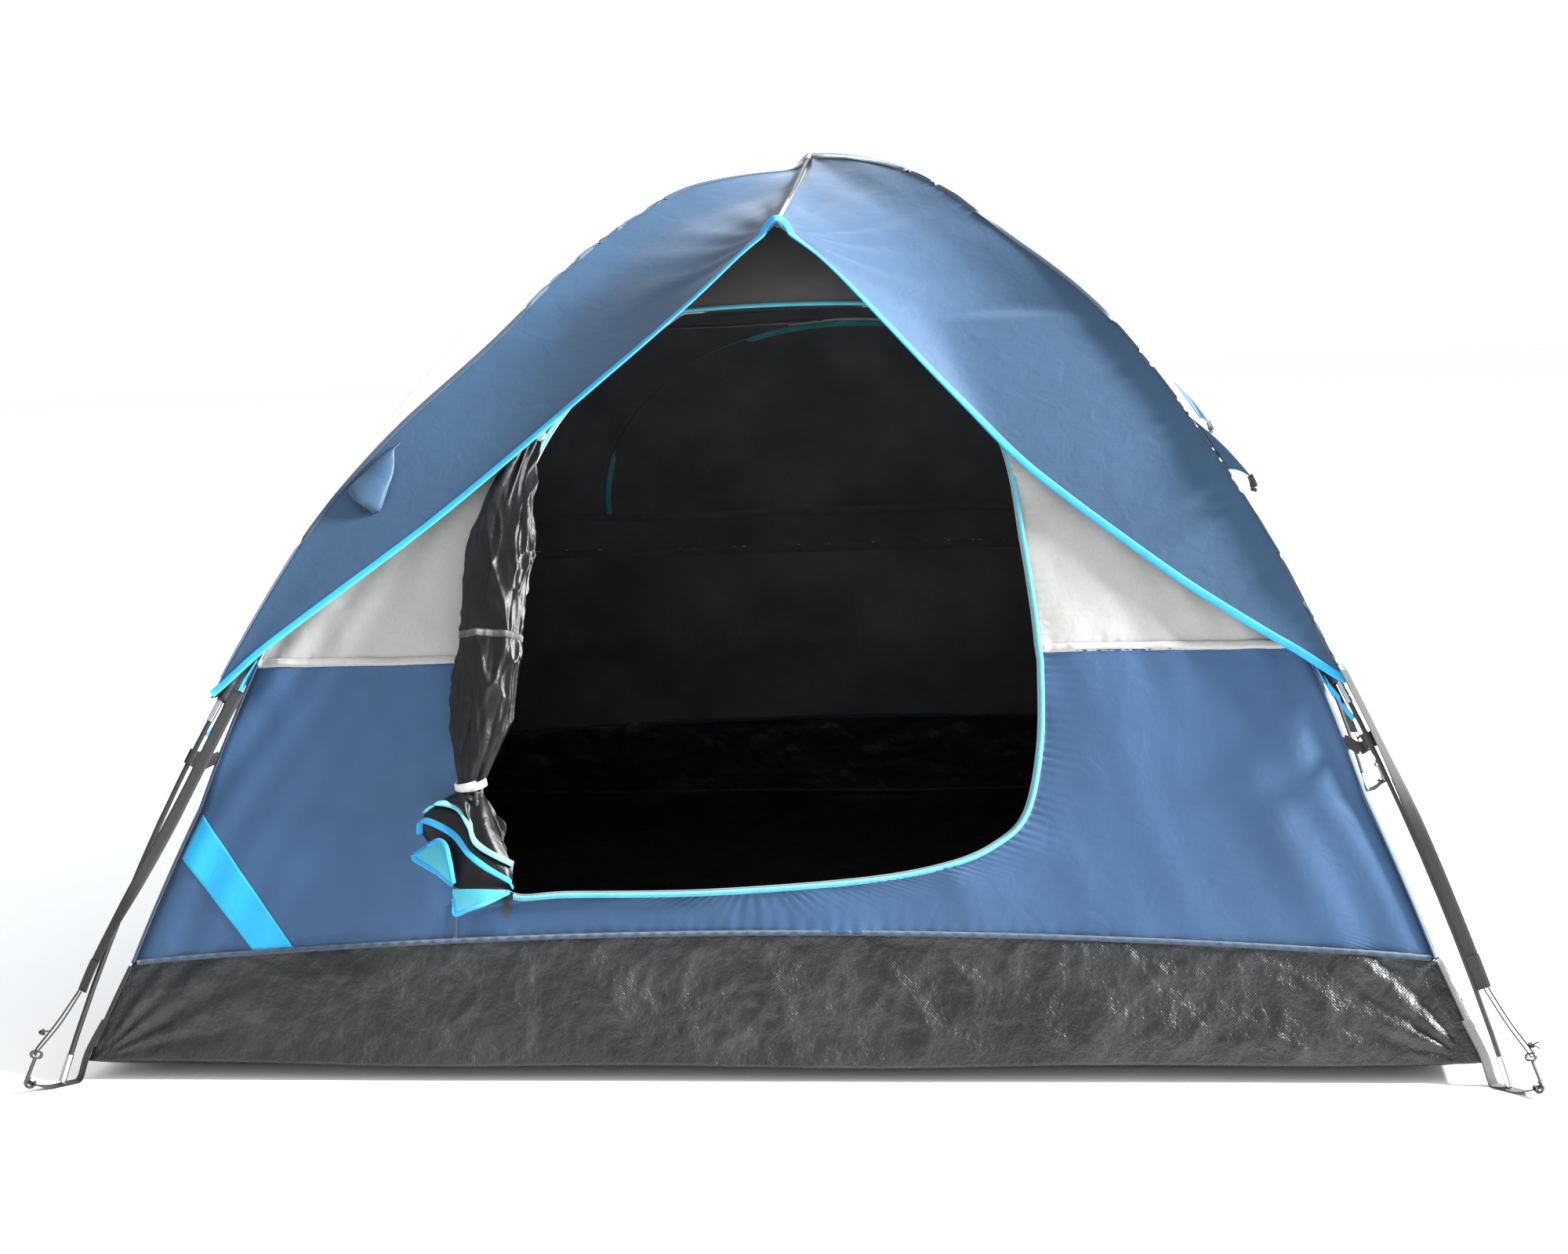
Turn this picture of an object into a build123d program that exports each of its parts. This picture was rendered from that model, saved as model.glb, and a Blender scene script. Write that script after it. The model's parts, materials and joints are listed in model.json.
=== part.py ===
from build123d import *
import math
import os

# Two-wall dome tent for three people, set up with its door tied open.
# Millimetres. +Z up, the front door faces -Y, the origin is on the ground under the apex.

# ---------------------------------------------------------------- driving dimensions
FOOT = 1075.0             # pole foot, distance from the centre along X and along Y
ARCH_TOP = 1386.0         # height of the pole centreline at the crossing
ARCH_POWER = 0.889        # roundness of the flexed pole: 1 is a parabola, 0.5 an ellipse
POLE_D = 8.5              # fibreglass rod
POLE_BORE = 3.4
POLE_SECTIONS = 7
POLE_CROSS_GAP = 10.0     # one pole passes this far above the other
FERRULE_D = 11.0
FERRULE_L = 62.0
SHOCK_CORD_D = 2.6

FABRIC = 2.0              # thickness of the solid that stands for one layer of cloth
FLOOR_FLAT = 935.0        # half width of the floor where it lies on the ground
TUB_EDGE_Z = 24.0         # the floor's edge is drawn up by the pole feet
TUB_TOP_Z = 172.0
SEAM_Z = 606.0            # seam between the navy lower wall and the white upper wall
ROOF_Z = 1132.0           # seam between the upper wall and the mesh roof

DOOR_BOTTOM_LEFT = (-390.0, 260.0)     # X and Z on the front wall
DOOR_BOTTOM_RIGHT = (150.0, 276.0)
DOOR_RIGHT = 420.0
DOOR_LEFT = -452.0
DOOR_TOP_HALF = 170.0
PIPING_W = 9.0
PIPING_T = 2.2
PIPING_OUT_UPPER = 4.4    # the piping lies over the upper wall's overlap here, and lower on the navy wall
PIPING_OUT_LOWER = 2.8

WINDOW_HALF_W = 560.0
WINDOW_Z = 690.0
WINDOW_TOP_Z = 1094.0

SLEEVE_R = 9.2
FLY_OFFSET = 17.0         # the fly's outer face lies this far outside the pole centreline
FLY_T = 1.6
FLY_HEM_Z = 562.0
PEAK_Y = 508.0            # brow peak of the fly, out from the centre
PEAK_Z = 1269.0
FLY_TOP_Z = 1411.0
BINDING_W = 12.0
RIDGE_D = 7.0

CLIP_Z = 474.0
CLIP_STRAP_W = 18.0
STRAP_W = 20.0
STRAP_END_Z = 138.0
HOOK_T = 4.0
ELASTIC_D = 3.0

SQ2 = math.sqrt(2.0)
LIFTS = {"a": -POLE_CROSS_GAP / 2, "b": POLE_CROSS_GAP / 2}
CORNERS = {"front_right": -45.0, "front_left": -135.0, "rear_left": 135.0, "rear_right": 45.0}
SIDES = {"front": 0.0, "right": 90.0, "rear": 180.0, "left": -90.0}


# ---------------------------------------------------------------- the arch
def arch(t, out=0.0):
    """Point (u, z) of the arch in its vertical diagonal plane, moved outwards by out.

    t runs from 0 at the crossing to 1 at the foot.
    """
    t = min(max(t, 0.0), 0.9999)
    u = FOOT * SQ2 * t
    z = ARCH_TOP * (1 - t * t) ** ARCH_POWER
    slope = -2 * t * ARCH_TOP * ARCH_POWER * (1 - t * t) ** (ARCH_POWER - 1) / (FOOT * SQ2)
    scale = out / math.hypot(slope, 1)
    return u - slope * scale, z + scale


def t_at_height(z, out=0.0):
    """The parameter where the arch, moved outwards by out, has height z."""
    low, high = 0.0, 0.9999
    for _ in range(50):
        middle = (low + high) / 2
        if arch(middle, out)[1] > z:
            low = middle
        else:
            high = middle
    return (low + high) / 2


def u_at_height(z, out=0.0):
    return arch(t_at_height(z, out), out)[0]


def wall_gap(z):
    """How far the inner wall's outer face lies inside the pole centreline."""
    stations = [(0.0, 30.0), (24.0, 32.0), (172.0, 50.0), (390.0, 52.0), (606.0, 26.0), (1500.0, 19.0)]
    for (z0, gap0), (z1, gap1) in zip(stations, stations[1:]):
        if z <= z1:
            return gap0 + (gap1 - gap0) * (z - z0) / (z1 - z0)
    return stations[-1][1]


def wall_x(z, out=0.0):
    """Half width of the inner tent at height z; out is measured outwards from the cloth's face."""
    return u_at_height(z, out - wall_gap(z)) / SQ2


STEPS = 4000
LENGTHS = [0.0]           # length of the arch from the crossing to each step of t
for step in range(1, STEPS + 1):
    LENGTHS.append(LENGTHS[-1] + math.dist(arch((step - 1) / STEPS), arch(step / STEPS)))


def length_to(t):
    return LENGTHS[round(t * STEPS)]


def t_at_length(length):
    for step, reached in enumerate(LENGTHS):
        if reached >= length:
            return step / STEPS
    return 1.0


HALF_POLE = LENGTHS[-1] - 14.0              # the rod ends in its tip, just above the ground
SECTION_L = 2 * HALF_POLE / POLE_SECTIONS
PIN_U = FOOT * SQ2 - 1.5                    # the tip's pin stands here in the corner webbing
LIFT_REACH = 600.0                          # the poles part over this length at the crossing


def signed_point(length, lift=0.0):
    """Point of the pole's centreline at a signed length from the crossing, in the XZ plane."""
    u, z = arch(t_at_length(abs(length)))
    return Vector(math.copysign(u, length), 0, z + lift * max(0.0, 1 - abs(length) / LIFT_REACH))


def pole_arc(start, end, lift=0.0):
    return ThreePointArc(
        signed_point(start, lift), signed_point((start + end) / 2, lift), signed_point(end, lift)
    )


def tube(path, outer_d, inner_d=0.0):
    plane = Plane(origin=path @ 0, z_dir=path % 0)
    section = Circle(outer_d / 2)
    if inner_d:
        section = section - Circle(inner_d / 2)
    return sweep(plane * section, path=path)


def rod(start, end, outer_d, inner_d=0.0):
    return tube(Line(start, end), outer_d, inner_d)


def turned(shape, degrees):
    return Rot(0, 0, degrees) * shape


# ---------------------------------------------------------------- poles
def pole_tip(end, along):
    """Steel cap on the rod's end, with the pin that stands in the corner webbing."""
    cap = rod(end - along * 34, end + along * 8, POLE_D + 2.4)
    cap -= rod(end - along * 40, end, POLE_D + 0.5)
    side = math.copysign(1, end.X)
    return cap + rod(Vector(side * PIN_U, 0, 0), Vector(side * PIN_U, 0, 9), 6.0)


def main_pole(lift):
    """The solids of one long pole, in the XZ plane: sections, ferrules, tips and shock cord."""
    starts = [-HALF_POLE + i * SECTION_L for i in range(POLE_SECTIONS)]
    paths = [pole_arc(start, start + SECTION_L, lift).edge() for start in starts]
    sections = [tube(path, POLE_D, POLE_BORE) for path in paths]
    cord = [tube(path, SHOCK_CORD_D) for path in paths]
    part = FERRULE_L / 2 / SECTION_L
    ferrules = []
    for before, after in zip(paths, paths[1:]):
        halves = [before.trim(1 - part, 1), after.trim(0, part)]
        ferrules += [tube(half, FERRULE_D, POLE_D + 0.1) for half in halves]
    tips = [pole_tip(paths[0] @ 0, (paths[0] % 0) * -1), pole_tip(paths[-1] @ 1, paths[-1] % 1)]
    return sections, ferrules, tips, cord


def ridge_point(y, drop=0.0):
    """Point under the fly's ridge at distance y from the centre, lower by drop."""
    slope = (FLY_TOP_Z - PEAK_Z) / PEAK_Y
    return Vector(0, y, FLY_TOP_Z - slope * abs(y) - drop)


def ridge_pole():
    """The short pole that holds the fly's brows out, with its elbow over the crossing."""
    drop = FLY_T + RIDGE_D / 2 + 3.2
    end_y = PEAK_Y - 26.0
    rods, cords, caps = [], [], []
    for side in (-1, 1):
        rods.append(rod(ridge_point(side * 24, drop), ridge_point(side * end_y, drop), RIDGE_D, 3.0))
        cords.append(rod(ridge_point(side * 24, drop), ridge_point(side * end_y, drop), 2.2))
        inner, outer = ridge_point(side * (end_y - 16), drop), ridge_point(side * (end_y + 5), drop)
        seat = ridge_point(side * (end_y - 30), drop), ridge_point(side * end_y, drop)
        caps.append(rod(inner, outer, RIDGE_D + 2.4) - rod(*seat, RIDGE_D + 0.2))
    elbow_path = FilletPolyline(
        ridge_point(-46, drop), ridge_point(0, drop), ridge_point(46, drop), radius=60.0
    )
    elbow = tube(elbow_path, RIDGE_D + 2.6, RIDGE_D + 0.3)
    return rods, [elbow], caps, cords


# ---------------------------------------------------------------- inner tent
def wedge(z0, z1):
    """The quarter of space that the front side takes, between the two diagonal planes."""
    outline = Polyline((0, 0), (-1300, -1300), (1300, -1300), close=True)
    return Pos(0, 0, z0) * extrude(make_face(outline), z1 - z0)


def profile_band(stations, thickness):
    """Front-side band of cloth: three (y, z) stations of its outer face, extruded along X.

    The inner face is the outer one moved straight back, or straight down on a shallow slope.
    """
    first, mid, last = [Vector(0, y, z) for y, z in stations]
    steep = abs(last.Z - first.Z) > abs(last.Y - first.Y)
    across = Vector(0, thickness, 0) if steep else Vector(0, 0, -thickness)
    edges = [
        ThreePointArc(first, mid, last),
        Line(last, last + across),
        ThreePointArc(last + across, mid + across, first + across),
        Line(first + across, first),
    ]
    face = make_face(edges)
    return extrude(face, 1300, dir=(1, 0, 0), both=True)


def wall_band(z0, z1, out=0.0, thickness=FABRIC):
    stations = [(-wall_x(z, out), z) for z in (z0, (z0 + z1) / 2, z1)]
    return profile_band(stations, thickness)


def wall_panel(z0, z1):
    return wall_band(z0, z1) & wedge(z0 - 50, z1 + 50)


def tub():
    """Bathtub floor: a flat middle, edges that rise a little, and four low walls."""
    edge = wall_x(TUB_EDGE_Z)
    outer = loft([Rectangle(2 * FLOOR_FLAT, 2 * FLOOR_FLAT).face(),
                  (Pos(0, 0, TUB_EDGE_Z) * Rectangle(2 * edge, 2 * edge)).face()])
    inner = loft([(Pos(0, 0, FABRIC) * Rectangle(2 * FLOOR_FLAT, 2 * FLOOR_FLAT)).face(),
                  (Pos(0, 0, TUB_EDGE_Z + FABRIC) * Rectangle(2 * edge, 2 * edge)).face()])
    floor = outer - inner
    side = wall_panel(TUB_EDGE_Z, TUB_TOP_Z)
    sides = [turned(side, angle) for angle in SIDES.values()]
    return floor + sides


def roof():
    """Mesh roof: the four upper ends of the cross vault, joined over the crossing."""
    top = arch(0.0, -wall_gap(ROOF_Z))[1]
    middle_t = t_at_height(ROOF_Z, -wall_gap(ROOF_Z)) / 2
    middle = arch(middle_t, -wall_gap(ROOF_Z))
    stations = [(-wall_x(ROOF_Z), ROOF_Z), (-middle[0] / SQ2, middle[1]), (0.0, top)]
    quarter = profile_band(stations, FABRIC) & wedge(ROOF_Z, top + 50)
    quarters = [turned(quarter, angle) for angle in SIDES.values()]
    return quarters[0] + quarters[1:]


def door_outline():
    """Face of the door opening in the XZ plane."""
    left, bottom_left = DOOR_BOTTOM_LEFT
    right, bottom_right = DOOR_BOTTOM_RIGHT
    edges = Line((left, bottom_left), (right, bottom_right))
    edges += Spline(
        (right, bottom_right), (348, 324), (398, 372), (DOOR_RIGHT, 470), (417, 620), (398, 760),
        (366, 898), (300, 1024), (DOOR_TOP_HALF, ROOF_Z), tangents=[(1, 0.03), (-1, 0.5)],
    )
    edges += Line((DOOR_TOP_HALF, ROOF_Z), (-DOOR_TOP_HALF, ROOF_Z))
    edges += Spline(
        (-DOOR_TOP_HALF, ROOF_Z), (-310, 1024), (-392, 900), (-436, 720), (DOOR_LEFT, 560),
        (DOOR_LEFT + 4, 400), (left, bottom_left), tangents=[(-1, -0.5), (1, -0.35)],
    )
    return Plane.XZ * make_face(edges)


def through(face_xz):
    """Solid of a face in the XZ plane, driven through the front half of the tent."""
    return extrude(face_xz, 1400, dir=(0, -1, 0))


def window_outline(grow=0.0):
    half = WINDOW_HALF_W + grow
    top = WINDOW_TOP_Z - WINDOW_Z + grow
    ellipse = Ellipse(half, top)
    keep = Pos(0, half / 2 - grow) * Rectangle(2 * half + 2, half)
    return Plane.XZ * (Pos(0, WINDOW_Z) * (ellipse & keep))


PIPING_POINTS = 120       # straight steps round the door


def door_piping():
    """Flat piping round the door: one strip over the seam line and one under it."""
    outline = door_outline().face().outer_wire()
    points = [outline @ (i / PIPING_POINTS) for i in range(PIPING_POINTS)]
    under_door = DOOR_BOTTOM_LEFT[1] - 30
    bands = {
        1: wall_band(SEAM_Z, ROOF_Z - 1, out=PIPING_OUT_UPPER, thickness=PIPING_T),
        -1: wall_band(under_door, SEAM_Z, out=PIPING_OUT_LOWER, thickness=PIPING_T),
    }
    strips = []
    for up, band in bands.items():
        edge = [p for p in points if (p.Z - SEAM_Z) * up > -40]
        edge.sort(key=lambda p: math.atan2(p.X, (p.Z - SEAM_Z) * up + 60))
        runs = []
        for side in (-PIPING_W / 2, PIPING_W / 2):
            run = []
            for before, here, after in zip(edge, edge[1:], edge[2:]):
                along = (after - before).normalized()
                run.append((here.X - side * along.Z, here.Z + side * along.X))
            runs.append(run)
        face = make_face(Polyline(*runs[0], *runs[1][::-1], close=True))
        strips.append(band & through(Plane.XZ * face))
    return strips


def window_parts():
    """Rear window: its mesh-backed flap and the arched zip on its edge, on the rear side."""
    band = wall_band(SEAM_Z, ROOF_Z)
    flap = turned(band & through(window_outline(-0.4)), 180)
    ring = through(window_outline(-1)) - through(window_outline(-10))
    cut = extrude(Plane.XZ * (Pos(0, WINDOW_Z - 300) * Rectangle(2000, 600)), 1400, dir=(0, -1, 0))
    inside = wall_band(SEAM_Z, ROOF_Z, out=-FABRIC - 1.0, thickness=1.8)
    zip_arch = turned((inside & ring) - cut, 180)
    return flap, zip_arch


def pole_sleeve(lift):
    """Cloth sleeve on one arm of a pole, from above the clip to near the crossing."""
    start = length_to(t_at_height(550))
    joints = [start, 1.5 * SECTION_L, 0.5 * SECTION_L, 150.0]
    paths = [pole_arc(a, b, lift) for a, b in zip(joints, joints[1:])]
    return [tube(path, 2 * SLEEVE_R, 2 * SLEEVE_R - 2.0) for path in paths]


# ---------------------------------------------------------------- door roll
TIE_STATION = (-452, 412, 20, 17, 34)      # x, z, half width, half depth, distance out from the wall


def door_roll():
    """The door cloth, gathered and tied at the hinge side: ellipses lofted down the wall."""
    gathered = [
        (-405, 915, 20, 12, 21.5), (-424, 800, 40, 20, 28.5), (-428, 640, 44, 23, 31.5),
        (-438, 500, 36, 22, 33), TIE_STATION,
    ]
    flared = [TIE_STATION, (-455, 370, 62, 19, 38), (-452, 300, 64, 18, 42), (-440, 232, 38, 14, 44)]
    lofts = []
    for run in (gathered, flared):
        faces = [Pos(x, -wall_x(z, out), z) * Ellipse(half_x, half_y) for x, z, half_x, half_y, out in run]
        lofts.append(loft([face.face() for face in faces]))
    return lofts[0] + lofts[1]


TIE_AT = (TIE_STATION[0], -wall_x(TIE_STATION[1], TIE_STATION[4]), TIE_STATION[1])
DOOR_ROLL_SEAM = ((-424.0, 860.0), (-468.0, 420.0))      # (x, z) of the seam the roll turns on
TOGGLE_AT = (-436.0, TIE_AT[1] - 30.0, 410.0)


def door_tie():
    band = Ellipse(23.0, 20.0) - Ellipse(21.4, 18.4)
    return Pos(TIE_AT[0], TIE_AT[1], TIE_AT[2] - 6) * extrude(band, 12)


def door_toggle():
    return Pos(*TOGGLE_AT) * Cylinder(3.6, 26)


# ---------------------------------------------------------------- zip sliders
def slope_frame(x, z, out):
    """Plane on the front wall: its x runs along X, its y up the wall, its z outwards."""
    low = Vector(x, -wall_x(z - 5, out), z - 5)
    high = Vector(x, -wall_x(z + 5, out), z + 5)
    up = (high - low).normalized()
    return Plane(origin=(low + high) / 2, x_dir=(1, 0, 0), z_dir=Vector(1, 0, 0).cross(up))


def slider():
    frame = slope_frame(DOOR_BOTTOM_LEFT[0] - 4, DOOR_BOTTOM_LEFT[1] + 1, 3.2)
    body = Pos(0, 0, 1.6) * Box(18, 11, 3.2)
    bridge = Pos(0, 0, 5.4) * (Box(3, 6, 4.4) - Pos(0, 0, -0.4) * Box(4, 3.6, 2.4))
    return frame * (body + bridge), frame


def pull_tab():
    frame = slider()[1]
    ring = Pos(0, 0, 5.0) * Rot(0, 90, 0) * Cylinder(0.9, 9)
    tab = Pos(0, -17, 5.0) * Box(9, 34, 1.8)
    slot = Pos(0, -0.5, 5.0) * Box(5.4, 8.5, 3.0)
    return frame * ((tab - slot) + ring)


def window_slide_axis():
    """Direction up the zip at the right lower end of the rear window."""
    low, high = 735.0, 785.0
    return Vector(-9, wall_x(high) - wall_x(low), high - low)


def window_slider():
    """Slider at the lower end of the rear window's zip, inside the tent."""
    y = wall_x(745, -FABRIC - 12.0)
    body = Box(12, 5, 20) + Pos(0, -3.0, -16) * Box(7, 1.6, 26)
    return Pos(WINDOW_HALF_W - 14, y, 745) * Rot(48, 0, 0) * body


# ---------------------------------------------------------------- fly
def fly_point(t, out=FLY_OFFSET):
    """Point of the fly over the front-right arm of the poles."""
    u, z = arch(t, out)
    return Vector(u / SQ2, -u / SQ2, z)


def fly_side():
    """White side panel on the front side's quarter; it is turned to the left and right."""
    t_hem = t_at_height(FLY_HEM_Z, FLY_OFFSET)
    joints = [t_hem, t_hem * 0.72, t_hem * 0.42, 0.0]
    pieces = []
    for t0, t1 in zip(joints, joints[1:]):
        stations = [arch(t, FLY_OFFSET) for t in (t0, (t0 + t1) / 2, t1)]
        band = profile_band([(-u / SQ2, z) for u, z in stations], FLY_T)
        pieces.append(band & wedge(0, 2000))
    near_crossing = Box(2000, 60, 3000)
    return (pieces[0] + pieces[1:]) - near_crossing


def fly_wing():
    """Navy front-right panel: straight rulings from the ridge to the pole seam."""
    t_hem = t_at_height(FLY_HEM_Z, FLY_OFFSET)
    seam = Spline([fly_point(t_hem * i / 8) for i in range(1, 9)])
    ridge = Line(ridge_point(-PEAK_Y / 8), ridge_point(-PEAK_Y))
    face = Face.make_surface_from_curves(ridge.edge(), seam.edge())
    sheet = thicken(face, FLY_T)
    if sheet.bounding_box().max.Z > ridge_point(PEAK_Y / 8).Z + 0.5:
        sheet = thicken(face, -FLY_T)
    right_half = Pos(1000.3, 0, 1000) * Box(2000, 3000, 2000)
    return sheet & wedge(0, 2000) & right_half


def strip(points, width, thickness, normal):
    """Flat band through the points of a straight run; normal is its broad face's direction."""
    start, end = Vector(*points[0]), Vector(*points[1])
    along = end - start
    side = along.cross(Vector(*normal)).normalized()
    outwards = side.cross(along.normalized())
    frame = Plane(origin=(start + end) / 2, x_dir=along.normalized(), z_dir=outwards)
    return frame * Box(along.length, width, thickness)


def brow_binding():
    """Binding on the front brow: one straight band on each side of the peak."""
    bands = []
    for side in (-1, 1):
        low = fly_point(t_at_height(FLY_HEM_Z, FLY_OFFSET))
        low = Vector(side * low.X, low.Y, low.Z)
        peak = ridge_point(-PEAK_Y) + Vector(side * 1.0, 0, 0)
        low += (peak - low).normalized() * 22
        bands.append(strip((low, peak), BINDING_W, 3.0, (side * 0.35, -0.75, 0.55)))
    return bands


def side_binding():
    half = u_at_height(FLY_HEM_Z, FLY_OFFSET) / SQ2
    band = Pos(0, -half - 1.7, FLY_HEM_Z) * Box(2 * half - 60, 3.0, BINDING_W)
    return [turned(band, 90), turned(band, -90)]


# ---------------------------------------------------------------- corners, in the XZ plane
def guy_tab():
    """Triangular patch over the pole seam that stands off as a guying point."""
    top, low = t_at_height(940, FLY_OFFSET), t_at_height(858, FLY_OFFSET)
    a, b = arch(top, FLY_OFFSET + 1.5), arch(low, FLY_OFFSET + 1.5)
    outer = arch(t_at_height(834, FLY_OFFSET + 30), FLY_OFFSET + 30)
    outline = Polyline((a[0], a[1]), (b[0], b[1]), (outer[0], outer[1]), close=True)
    return Pos(0, 1.2, 0) * extrude(Plane.XZ * make_face(outline), 2.4)


def fly_strap():
    """Webbing from the fly's corner down the outside of the pole."""
    top, middle, end = (FLY_HEM_Z - 4, 20.0), (350.0, 17.0), (STRAP_END_Z, 13.0)
    points = [Vector(u_at_height(z, out), 0, z) for z, out in (top, middle, end)]
    shift = Vector(1.5, 0, 0.7)
    outer = [point + shift for point in reversed(points)]
    outline = [
        ThreePointArc(*points), Line(points[2], outer[0]),
        ThreePointArc(*outer), Line(outer[2], points[0]),
    ]
    return extrude(make_face(outline), STRAP_W / 2, dir=(0, 1, 0), both=True)


EYE = (FOOT * SQ2 + 36.0, 56.0)        # (u, z) of the hook's eye
BAR = (FOOT * SQ2 + 49.0, 15.0)        # (u, z) of the webbing bar that the hook holds


def thick_line(p, q, width):
    """Flat bar of the given width between two points of a sketch."""
    middle = ((p[0] + q[0]) / 2, (p[1] + q[1]) / 2)
    angle = math.degrees(math.atan2(q[1] - p[1], q[0] - p[0]))
    return Pos(*middle) * Rot(0, 0, angle) * Rectangle(math.dist(p, q), width)


def elastic():
    """Elastic loop from the strap's end to the hook: two legs and a round bottom."""
    top = Vector(u_at_height(STRAP_END_Z, 13.0) + 3.5, 0, STRAP_END_Z + 2)
    eye = Vector(EYE[0], 0, EYE[1])
    down = (eye - top).normalized()
    bend = 5.0
    side = Vector(0, bend, 0)
    low = eye - down * bend
    path = Line(top + side, low + side)
    path += ThreePointArc(low + side, eye, low - side)
    path += Line(low - side, top - side)
    return tube(Wire(path.edges()), ELASTIC_D)


def hook():
    """Flat plastic hook: a long eye for the elastic and an open bowl under the webbing bar."""
    eye_u, eye_z = EYE
    bar_u, bar_z = BAR
    along = math.degrees(math.atan2(bar_z - eye_z, bar_u - eye_u))
    at_eye = Pos(eye_u, eye_z) * Rot(0, 0, along + 90)
    bowl = Pos(bar_u, bar_z) * (Circle(9.5) - Circle(5.2))
    bowl -= Pos(bar_u - 8, bar_z + 7) * Rectangle(14, 12)
    shank = thick_line((eye_u + 2.5, eye_z - 5.5), (bar_u + 7.35, bar_z + 1), 4.6)
    profile = at_eye * SlotCenterToCenter(8, 12.5) + shank + bowl
    profile -= at_eye * SlotCenterToCenter(6, 7)
    return Pos(0, HOOK_T / 2, 0) * extrude(Plane.XZ * profile, HOOK_T)


def corner_webbing():
    """Webbing sewn to the tub's corner, under the pole tip, out to the bar that the hook holds."""
    low_u = u_at_height(40, 0.8 - wall_gap(40))
    high_u = u_at_height(86, 0.8 - wall_gap(86))
    t = 1.8
    under = [(high_u, 86), (low_u, 40), (PIN_U - 26, 0), (PIN_U + 23, 0), (BAR[0], BAR[1] - 1)]
    over = [(BAR[0], BAR[1] + 1), (PIN_U + 22, t), (PIN_U - 25, t), (low_u + t, 41), (high_u + t, 86)]
    band = extrude(Plane.XZ * make_face(Polyline(*under, *over, close=True)), STRAP_W / 2 + 1, both=True)
    hole = Pos(PIN_U, 0, 0) * Cylinder(3.5, 12)
    slot = Pos(BAR[0] - 10.3, 0, BAR[1] - 4) * Box(14.6, 7, 20)
    bar = Pos(BAR[0], 0, BAR[1]) * Rot(90, 0, 0) * Cylinder(2.4, STRAP_W + 2)
    return band - hole - slot + bar


CLIP_SLOT = (-15.4, -9.8)      # the strap's slot in the clip, inwards from the pole centreline


def clip_frame():
    """Plane at the clip: origin on the pole centreline, z down the pole, x outwards."""
    t = t_at_height(CLIP_Z)
    low, high = arch(t + 0.003), arch(t - 0.003)
    down = Vector(low[0] - high[0], 0, low[1] - high[1]).normalized()
    here = arch(t)
    return Plane(origin=(here[0], 0, here[1]), x_dir=down.cross(Vector(0, 1, 0)), z_dir=down)


def pole_clip():
    """Plastic clip that snaps on the pole, with an upright slot for its strap on the tent's side."""
    ring = Cylinder(7.6, 24) - Pos(9, 0, 0) * Box(10, 5.6, 26)
    lug = Pos(-12.0, 0, 0) * Box(11, 6, CLIP_STRAP_W + 9)
    slot = Pos(sum(CLIP_SLOT) / 2, 0, 0) * Box(CLIP_SLOT[1] - CLIP_SLOT[0], 8, CLIP_STRAP_W + 3.6)
    body = ring + lug - slot - Cylinder(POLE_D / 2 + 0.55, 40)
    return clip_frame() * body


def clip_strap():
    """Short upright webbing from the wall's corner seam, looped round the clip's bar."""
    frame = clip_frame()
    t, half, end, neck = 1.2, 6.6, -12.3, -22.0
    width = (end - neck, 2 * half)
    middle = (end + neck) / 2
    loop = Box(*width, CLIP_STRAP_W) - Box(width[0] - 2 * t, width[1] - 2 * t, CLIP_STRAP_W + 2)
    edge = []
    for down in (CLIP_STRAP_W / 2, -CLIP_STRAP_W / 2):
        z = CLIP_Z + down * frame.z_dir.Z
        edge.append(Vector(u_at_height(z, 0.8 - wall_gap(z)), 0, z))
    bar = [frame.origin + frame.x_dir * (neck + t / 2) + frame.z_dir * down
           for down in (-CLIP_STRAP_W / 2, CLIP_STRAP_W / 2)]
    tail = extrude(make_face(Polyline(*edge, *bar, close=True)), t, dir=(0, 1, 0), both=True)
    return frame * (Pos(middle, 0, 0) * loop) + tail


# ---------------------------------------------------------------- assembly
def add(nodes, name, shape):
    solids = []
    for item in shape if isinstance(shape, (list, tuple)) else [shape]:
        solids += list(item.solids())
    nodes[name] = Compound(label=name, children=solids) if len(solids) > 1 else solids[0]


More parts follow.
